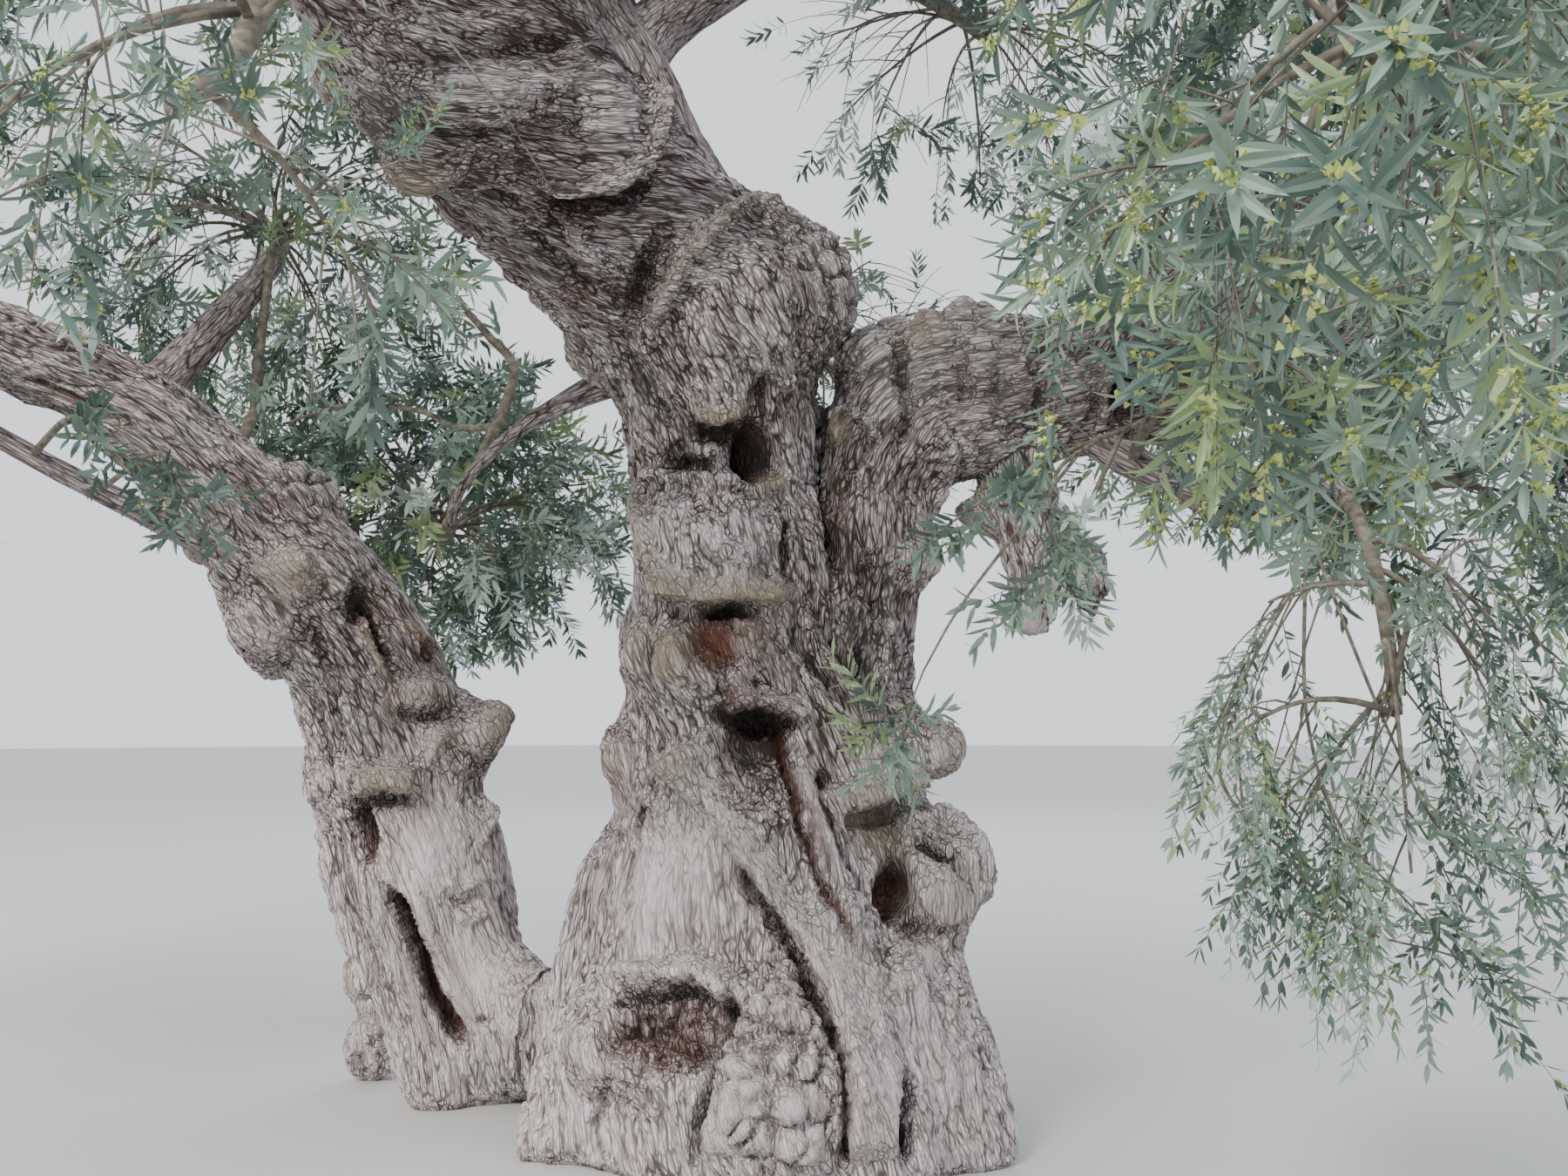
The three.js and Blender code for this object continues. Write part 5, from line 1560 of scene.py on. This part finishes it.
# Twigs that the picture shows by themselves. Each starts inside the limb nearest to its first pixel; the
# numbers beside the pixels are depths y in metres. Its sprays go to the mass named.
shownTwigs = [
    # mass, radii, number of sprays, path
    ("right_mid", (0.026, 0.014), 5, [(1262, 528, -0.35), (1330, 470, -0.55), (1380, 445, -0.62),
     (1455, 455, -0.7)]),
    ("right_mid", (0.016, 0.007), 6, [(1272, 556, -0.35), (1380, 520, -0.5), (1460, 505, -0.6),
     (1530, 495, -0.7)]),
    ("right_low", (0.03, 0.014), 8, [(1318, 560, -0.1), (1395, 590, -0.2), (1470, 600, -0.3),
     (1550, 555, -0.35), (1600, 535, -0.4), (1700, 560, -0.5)]),
    ("right_low", (0.022, 0.012), 2, [(1530, 590, -0.3), (1548, 560, -0.35), (1600, 480, -0.4),
     (1640, 420, -0.4)]),
    ("right_mid", (0.01, 0.004), 10, [(1270, 500, -0.5), (1210, 525, -0.8), (1150, 560, -0.95),
     (1085, 605, -1.05)]),
    ("right_mid", (0.01, 0.004), 9, [(1290, 555, -0.5), (1235, 610, -0.85), (1200, 650, -0.95),
     (1160, 690, -1.0)]),
    ("right_mid", (0.009, 0.004), 7, [(1200, 470, -0.5), (1215, 540, -0.9), (1205, 600, -1.0),
     (1225, 660, -1.0)]),
    ("right_mid", (0.007, 0.003), 0, [(1190, 530, -0.5), (1160, 620, -1.0), (1100, 700, -1.15),
     (1060, 770, -1.2)]),
    ("right_mid", (0.003, 0.0015), 9, [(1060, 770, -1.2), (1045, 810, -1.2), (1035, 850, -1.2),
     (1010, 815, -1.2)]),
    ("rear_low_left", (0.026, 0.015), 3, [(613, 472, 0.75), (590, 430, 0.8), (560, 385, 0.85),
     (537, 359, 0.9)]),
    ("rear_low_left", (0.018, 0.006), 6, [(572, 520, 0.8), (520, 490, 0.75), (481, 472, 0.75),
     (400, 465, 0.8), (325, 487, 0.9)]),
    ("left_rear", (0.03, 0.02), 5, [(285, 530, 0.5), (290, 480, 0.75), (294, 437, 0.8), (312, 287, 0.9)]),
    ("left_low", (0.016, 0.006), 7, [(45, 500, -0.2), (80, 480, -0.45), (110, 500, -0.6),
     (150, 545, -0.7)]),
    ("left_low", (0.012, 0.005), 8, [(130, 560, -0.1), (180, 520, -0.5), (210, 560, -0.7),
     (240, 600, -0.8)]),
    ("hanging_shoots", (0.006, 0.002), 12, [(1420, 690, -1.1), (1400, 850, -1.5), (1480, 985, -1.6),
     (1560, 1065, -1.6), (1660, 1095, -1.6), (1780, 1140, -1.6)]),
    ("hanging_shoots", (0.006, 0.002), 12, [(1490, 690, -1.1), (1500, 820, -1.5), (1540, 950, -1.6),
     (1620, 1040, -1.6), (1690, 1120, -1.6)]),
    ("hanging_shoots", (0.006, 0.002), 10, [(1560, 690, -1.1), (1590, 830, -1.5), (1660, 960, -1.6),
     (1750, 1010, -1.6)]),
]
# Sprays that look at the camera, as at the ends of its nearest twigs: pixel, depth y and size
shownSprays = [
    (1415, 190, -4.0, 1.15), (1548, 205, -4.0, 1.25), (1600, 50, -3.95, 1.1), (1400, 275, -3.3, 1.0),
    (1680, 335, -3.4, 1.1), (1530, 450, -3.1, 1.0), (1455, 400, -2.9, 1.0), (1630, 545, -3.0, 1.0),
    (1480, 590, -2.9, 1.0), (1720, 440, -3.2, 1.0), (1310, 330, -2.8, 0.9), (1350, 120, -3.2, 0.9),
    (1250, 250, -2.7, 0.9), (1760, 200, -3.5, 1.0), (1700, 90, -3.6, 1.0), (170, 85, -3.6, 1.0),
    (290, 105, -3.5, 1.1), (350, 60, -3.4, 1.0), (400, 245, -3.4, 1.0), (460, 160, -2.9, 0.9),
    (100, 215, -3.5, 1.0), (190, 260, -3.5, 1.0), (60, 120, -3.3, 0.9),
]


# The nearest point to a place on any of the woody lines given, rows of x, y, z and radius
def nearestOn(rows, place):
    return rows[((rows[:, :3] - place) ** 2).sum(axis=1).argmin()]


shown = {
    "twigNumber": 2900,  # how the rows of these sprays number their shoots, for the tints
    "shootNumbers": (2950, 40),
    "bare": 0.25,  # share of a twig that bears no sprays
    "scatter": (0.8, 0.18, 0.7),  # of the sprays on twigs, of those that look at the camera and of the others
    "turn": (0, -0.25, -0.15),  # towards the camera and down
    "sizes": (0.85, 1.15),
    # masses whose twigs bear the sprays that look at the camera
    "masses": ("near_left", "near_right", "right_front", "front_left", "right_mid"),
    "column": 800,  # those left of it go to the first of these masses, the others to the second
    "behind": 0.6,  # share of a spray that is behind its pixel's place
    "bend": 0.4,
    "radii": (0.0035, 0.0018),
    "steps": 8,
    "beside": (4, 6),  # the steps of a shoot where its other sprays stand
    "besideSize": 0.9,
    "nearest": -4.1,  # depth y that the tips of these stay behind
}


def growShownTwigs(random):
    rows = []
    made = [limbSamples]
    for mass, radii, count, path in shownTwigs:
        points = [np.array(placeAt((x, y), depth)) for x, y, depth in path]
        start = nearestOn(np.vstack(made), points[0])
        stations = [(*start[:3], 0)] + [(*p, 0) for p in points[1:]]
        line = stationLine(np.array(stations) * 1000, 8)
        line[:, 3] = np.linspace(*radii, len(line))
        woodLines[mass].append(("twig", line))
        made.append(resample(line, 0.04))
        for k in range(count):
            at = stepAt(line, shown["bare"] + (1 - shown["bare"]) * (k + 0.9) / count)
            aside = random.normal(0, shown["scatter"][0], 3) if k < count - 1 else 0
            aim = unit(unit(line[at + 1, :3] - line[at, :3]) + aside + np.array(shown["turn"]))
            size = random.uniform(*shown["sizes"])
            rows.append((*line[at, :3], *aim, size, massNames.index(mass), shown["twigNumber"]))
    return rows


# Each spray stands on a shoot from the nearest twig, with two more sprays along it.
def growShownSprays(random, rows):
    twigPoints = np.vstack([
        line for mass in shown["masses"] for kind, line in woodLines[mass] if kind != "shoot"
    ])

    def addRow(place, aim, size, mass):
        number, count = shown["shootNumbers"]
        rows.append((*place, *aim, size, massNames.index(mass), number + len(rows) % count))

    for x, y, depth, size in shownSprays:
        centre = np.array(placeAt((x, y), depth))
        aim = unit(unit(eye - centre) + random.normal(0, shown["scatter"][1], 3))
        foot = centre - aim * growth["sprayLength"] * size * shown["behind"]
        start = nearestOn(twigPoints, foot)[:3]
        run = np.linalg.norm(foot - start)
        shoot = curve(start, foot - aim * run * shown["bend"], foot, shown["steps"])
        mass = shown["masses"][0 if x < shown["column"] else 1]
        woodLines[mass].append(("shoot", withRadii(shoot, *shown["radii"])))
        addRow(foot, aim, size, mass)
        for at in shown["beside"]:
            side = unit(unit(shoot[at] - shoot[at - 1]) + random.normal(0, shown["scatter"][2], 3))
            tip = shoot[at] + side * growth["sprayLength"]
            if woodGap(tip[None])[0] > growth["clearance"] and tip[1] > shown["nearest"]:
                addRow(shoot[at], side, shown["besideSize"], mass)


shownRandom = np.random.default_rng(seeds["shown"])
shownRows = growShownTwigs(shownRandom)
growShownSprays(shownRandom, shownRows)
sprayTable = np.vstack([sprayTable, np.array(shownRows)])
print("shown twigs and sprays added")


# Leaves and sprays. A leaf is a lance-shaped blade, near the camera with a folded midrib and more corners.

# How far a leaf sags as a share of its length, and how far its halves are folded up as a share of its width
leafShape = {"sag": 0.14, "fold": 0.22}


def leafArrays(base, direction, up, length, width, stations, folded):
    side = unit(np.cross(direction, up))
    face = np.cross(side, direction)
    t = np.linspace(0, 1, stations + 2)
    spread = np.sin(np.pi * t ** 0.85) ** 0.8
    sag = -leafShape["sag"] * length * t * t
    spine = base + direction * length * t[:, None] + face * sag[:, None]
    aside = side * (width / 2 * spread)[:, None]
    raised = face * ((leafShape["fold"] * width if folded else 0) * spread)[:, None]
    left, right = (spine + aside + raised)[1:-1], (spine - aside + raised)[1:-1]
    last = stations + 1
    if not folded:
        faces = [(0, 1, 2 * stations + 1), (stations, last, last + 1)]
        faces += [(1 + i, 2 + i, 2 * stations - i, 2 * stations + 1 - i) for i in range(stations - 1)]
        return np.vstack([spine[:1], left, spine[-1:], right[::-1]]), faces
    lefts, rights = range(last + 1, last + 1 + stations), range(last + 1 + stations, last + 1 + 2 * stations)
    faces = [(0, 1, lefts[0]), (0, rights[0], 1), (stations, last, lefts[-1]), (last, stations, rights[-1])]
    for i in range(stations - 1):
        faces += [(i + 1, i + 2, lefts[i + 1], lefts[i]), (i + 2, i + 1, rights[i], rights[i + 1])]
    return np.vstack([spine, left, right]), faces


# Each kind has how many sprays differ, the pairs of leaves on one, the length of its shoot and the length and
# width of its leaves as shares of the usual, stations along a leaf, whether the leaf is folded, its angle to
# the shoot, and the chance and number of buds beside it.
sprayKinds = {
    "far": {
        "variants": 5, "pairs": 9, "span": 1.0, "long": 1.12, "wide": 1.1, "stations": 2, "folded": False,
        "angle": 0.95, "budChance": 0.2, "buds": 2,
    },
    "near": {
        "variants": 4, "pairs": 9, "span": 0.95, "long": 0.95, "wide": 0.74, "stations": 4, "folded": True,
        "angle": 0.95, "budChance": 0.5, "buds": 5,
    },
    "weeping": {
        "variants": 3, "pairs": 11, "span": 1.5, "long": 0.72, "wide": 0.8, "stations": 2, "folded": False,
        "angle": 0.8, "budChance": 0.2, "buds": 2,
    },
}
sprayShape = {
    "sway": 0.06,
    "steps": 20,
    "roll": 0.25,
    "missing": 0.06,  # chance that a leaf has fallen
    "budsFrom": 0.45,  # share of a shoot that bears no buds
    "budPlace": 0.016,  # metres from the shoot
    "budScatter": 0.0055,
    "budSize": 0.0042,
    "radii": (0.0017, 0.0008),
}
budCorners = np.array(((1, 1, 1), (1, -1, -1), (-1, 1, -1), (-1, -1, 1)))
budFaces = [(0, 1, 2), (0, 3, 1), (0, 2, 3), (1, 3, 2)]


# The parts of one spray along +Z from its foot: its leaves, its shoot and its flower buds.
def sprayParts(kindName, variant):
    kind = sprayKinds[kindName]
    random = np.random.default_rng(seeds["sprays"] + 10 * variant + len(kindName))
    span, pairs = growth["sprayLength"] * kind["span"], kind["pairs"]
    sway = random.normal(0, sprayShape["sway"], 2) * span
    route = np.zeros(3), np.array((*sway, span / 2)), np.array((*-sway, span))
    spine, bases = curve(*route, 2), curve(*route, sprayShape["steps"])
    leaves, buds = [], []

    def addLeaf(base, direction, up, size, wide):
        blade = growth["leafLength"] * size, growth["leafWidth"] * wide, kind["stations"], kind["folded"]
        leaves.append(leafArrays(base, direction, up, *blade))

    for pair in range(pairs):
        share = (pair + 0.9) / (pairs + 0.1)
        base = bases[round(share * sprayShape["steps"])]
        heading = pair * math.pi / 2 + random.normal(0, sprayShape["roll"])
        size = (0.75 + 0.45 * math.sin(math.pi * min(1, share * 0.9))) * random.uniform(0.85, 1.12)
        angle = kind["angle"] * (1.15 - 0.5 * share) * random.uniform(0.85, 1.15)
        for turn in (0, math.pi):
            if random.random() < sprayShape["missing"]:
                continue
            out = np.array((math.cos(heading + turn), math.sin(heading + turn), 0))
            direction = out * math.sin(angle) + np.array((0, 0, math.cos(angle)))
            up = np.array((0, 0, 1.0)) * math.sin(angle) - out * math.cos(angle)
            up = up + random.normal(0, sprayShape["roll"], 3)
            addLeaf(base, direction, up, kind["long"] * size, kind["wide"] * size)
            if share <= sprayShape["budsFrom"]:
                continue
            if random.random() < kind["budChance"] or (pair == pairs - 1 and not buds):
                for _ in range(kind["buds"]):
                    centre = base + direction * sprayShape["budPlace"]
                    centre = centre + random.normal(0, sprayShape["budScatter"], 3)
                    beadSize = sprayShape["budSize"] * random.uniform(0.7, 1.2)
                    buds.append((centre + beadSize * budCorners, budFaces))
    addLeaf(spine[-1], np.array((0.1, 0.05, 1.0)) / 1.01, np.array((1.0, 0, 0)), 0.7, 0.7)
    tube = tubeArrays(withRadii(spine, *sprayShape["radii"]), 3)
    return {"leaves": joinArrays(leaves), "shoots": tube[:2], "buds": joinArrays(buds)}


# A Geometry Nodes tree that sets out sprays on points. Each point carries its turn, size and kind of spray.
def sprayTree():
    tree = bpy.data.node_groups.new("set out sprays", "GeometryNodeTree")
    sockets = {"Geometry": "Geometry", "Sprays": "Collection", "Finish": "Material"}
    for name, kind in sockets.items():
        tree.interface.new_socket(name, in_out="INPUT", socket_type="NodeSocket" + kind)
    tree.interface.new_socket("Geometry", in_out="OUTPUT", socket_type="NodeSocketGeometry")
    given = addNode(tree, "NodeGroupInput").outputs

    def carried(name, kind):
        inputs = {"Name": name}
        return addNode(tree, "GeometryNodeInputNamedAttribute", inputs, data_type=kind).outputs["Attribute"]

    def added(kind, output, inputs, **settings):
        return addNode(tree, kind, inputs, **settings).outputs[output]

    turn = added("FunctionNodeEulerToRotation", "Rotation", {"Euler": carried("turn", "FLOAT_VECTOR")})
    sprays = added("GeometryNodeCollectionInfo", "Instances", {
        "Collection": given["Sprays"], "Separate Children": True, "Reset Children": True,
    })
    setOut = added("GeometryNodeInstanceOnPoints", "Instances", {
        "Points": given["Geometry"], "Instance": sprays, "Pick Instance": True,
        "Instance Index": carried("which", "INT"), "Rotation": turn, "Scale": carried("size", "FLOAT"),
    })
    real = added("GeometryNodeRealizeInstances", "Geometry", {"Geometry": setOut})
    finish = added("GeometryNodeSetMaterial", "Geometry", {"Geometry": real, "Material": given["Finish"]})
    addNode(tree, "NodeGroupOutput", {"Geometry": finish})
    return tree


# The sprays of every kind as collections, one for its leaves, one for its shoots and one for its buds
kinds = list(sprayKinds)
sprayCollections = {}
for kindName in kinds:
    for variant in range(sprayKinds[kindName]["variants"]):
        for partName, part in sprayParts(kindName, variant).items():
            if not variant:
                sprayCollections[kindName, partName] = bpy.data.collections.new(kindName + " " + partName)
            name = "%s %s %d" % (kindName, partName, variant)
            spray = bpy.data.objects.new(name, makeMesh(name, *part))
            sprayCollections[kindName, partName].objects.link(spray)
tree = sprayTree()
socketOf = {item.name: item.identifier for item in tree.interface.items_tree if item.in_out == "INPUT"}


# Euler angles that turn +Z to a direction, with a roll about it
def turnTo(direction, roll):
    turned = Vector(direction).to_track_quat("Z", "Y").to_matrix() @ Matrix.Rotation(roll, 3, "Z")
    return tuple(turned.to_euler())


def setOutSprays(kindName, partName, rows, material):
    mesh = makeMesh("spray feet", rows[:, :3])
    addAttribute(mesh, "turn", np.array([turnTo(row[3:6], row[9]) for row in rows]))
    addAttribute(mesh, "size", rows[:, 6])
    addAttribute(mesh, "which", rows[:, 10].astype(int))
    points = addObject("spray feet", mesh)
    modifier = points.modifiers.new("sprays", "NODES")
    modifier.node_group = tree
    modifier[socketOf["Sprays"]] = sprayCollections[kindName, partName]
    modifier[socketOf["Finish"]] = material
    result = finished(points)
    bpy.data.objects.remove(points)
    return result


# One piece of the sprays chosen, and how many triangles it has
def foliagePiece(name, partName, chosen, material, replaced):
    work = bmesh.new()
    for index, kindName in enumerate(kinds):
        mine = chosen & (sprayKind == index)
        if mine.any():
            work.from_mesh(setOutSprays(kindName, partName, sprayTable[mine], material))
    joined = bpy.data.meshes.new(name)
    work.to_mesh(joined)
    work.free()
    joined.materials.append(material)
    joined.polygons.foreach_set("material_index", np.zeros(len(joined.polygons), np.int32))
    for extra in [a.name for a in joined.attributes if a.name in ("turn", "size", "which")]:
        joined.attributes.remove(joined.attributes[extra])
    placePiece(name, joined, replaced)
    return sum(len(p.vertices) - 2 for p in joined.polygons)


# Stems, twigs and shoots of one region, as one piece
def twigPiece(name, members, replaced):
    tubes = []
    for member in members:
        for kind, line in woodLines[member]:
            tubes.append(tubeArrays(line, growth["sides"][kind], 0.06 if kind == "stem" else 0))
    points, faces, flat = joinArrays(tubes)
    roundPiece(name, points, faces, materials["twig"], replaced)
    return sum(len(face) - 2 for face in faces)


# Tints are dealt out by shoot: neighbouring sprays mostly wear the same one.
tintShares = {"dark": 0.34, "middle": 0.32, "silver": 0.20, "young": 0.14}
tints, shares = list(tintShares), list(tintShares.values())
sprayMass = sprayTable[:, 7]
dealer = np.random.default_rng(seeds["tints"])
shootTint = dealer.choice(len(tints), 100000, p=shares)
sprayTint = np.where(
    dealer.random(len(sprayTable)) < 0.7,
    shootTint[(sprayMass * 3000 + sprayTable[:, 8]).astype(int)],
    dealer.choice(len(tints), len(sprayTable), p=shares),
)
rolls = dealer.uniform(0, 2 * np.pi, len(sprayTable))
# Sprays within this distance of the camera have the finer leaves. Those of the left mass are smaller.
nearSprays = {"distance": 3.2, "leftSize": 0.65}
isNear = np.linalg.norm(sprayTable[:, :3] - eye, axis=1) < nearSprays["distance"]
sprayTable[isNear & (sprayMass == massNames.index("near_left")), 6] *= nearSprays["leftSize"]
sprayKind = np.where(isNear, kinds.index("near"), kinds.index("far"))
sprayKind[sprayMass == massNames.index("hanging_shoots")] = kinds.index("weeping")
# The sprays nearest the camera show the leaves' faces, not their silver backs.
sprayTint[(sprayKind == kinds.index("near")) & (sprayTint == tints.index("silver"))] = tints.index("middle")
which = dealer.integers(0, 1000, len(sprayTable))
variantCounts = np.array([sprayKinds[kind]["variants"] for kind in kinds])
sprayTable = np.column_stack([sprayTable, rolls, which % variantCounts[sprayKind]])
inBud = which % 3 > 0

total = 0
for region, members in regions.items():
    replaced = ["foliage_" + name for name in members]
    here = np.isin(sprayMass, [massNames.index(name) for name in members])
    # name, part, chosen sprays, finish, slot
    parts = [
        ("leaves_%s_" + tint, "leaves", here & (sprayTint == index), tint, "leaves")
        for index, tint in enumerate(tints)
    ]
    parts.append(("shoots_%s", "shoots", here, "twig", "young_bark"))
    parts.append(("buds_%s", "buds", here & inBud, "bud", "leaves"))
    for name, partName, chosen, finish, slot in parts:
        total += foliagePiece(name % region, partName, chosen, materials[finish], replaced)
    total += twigPiece("twigs_" + region, members, replaced)
    print("foliage grown:", region)
print("foliage made:", total, "triangles")


# Studio: a wide pale floor, haze of the same tone, and soft light

studio = {
    "floorRadius": 70,
    "drop": 0.002,  # how far the floor lies below the cut at the ground
    "haze": "#e9eef4",
    "strength": 1.5,
    "aim": (0, 0, 2.2),
    "lights": [
        # name, place, size, watts, colour
        ("key light", (-6, -12, 10), 4, 2300, "#fffaf2"),
        ("fill light", (12, -8, 7), 8, 400, "#eaf2ff"),
        ("rear light", (4, 14, 12), 9, 900, "#f4f8ff"),
    ],
}


def makeFloor():
    disc = bmesh.new()
    bmesh.ops.create_circle(disc, cap_ends=True, cap_tris=True, segments=96, radius=studio["floorRadius"])
    mesh = bpy.data.meshes.new("floor")
    disc.to_mesh(mesh)
    disc.free()
    mesh.materials.append(materials["floor"])
    floor = addObject("floor", mesh)
    floor.location = (0, 0, -studio["drop"])


def makeHaze():
    world = bpy.data.worlds.new("haze")
    world.use_nodes = True
    background = world.node_tree.nodes["Background"].inputs
    background["Color"].default_value = linear(studio["haze"])
    background["Strength"].default_value = studio["strength"]
    bpy.context.scene.world = world


def makeLight(name, place, size, power, colour):
    lamp = bpy.data.lights.new(name, "AREA")
    lamp.shape = "DISK"
    lamp.size = size
    lamp.energy = power
    lamp.color = linear(colour)[:3]
    light = addObject(name, lamp)
    light.location = place
    light.rotation_euler = (Vector(studio["aim"]) - Vector(place)).to_track_quat("-Z", "Y").to_euler()


makeFloor()
makeHaze()
for lightSettings in studio["lights"]:
    makeLight(*lightSettings)
print("studio made")
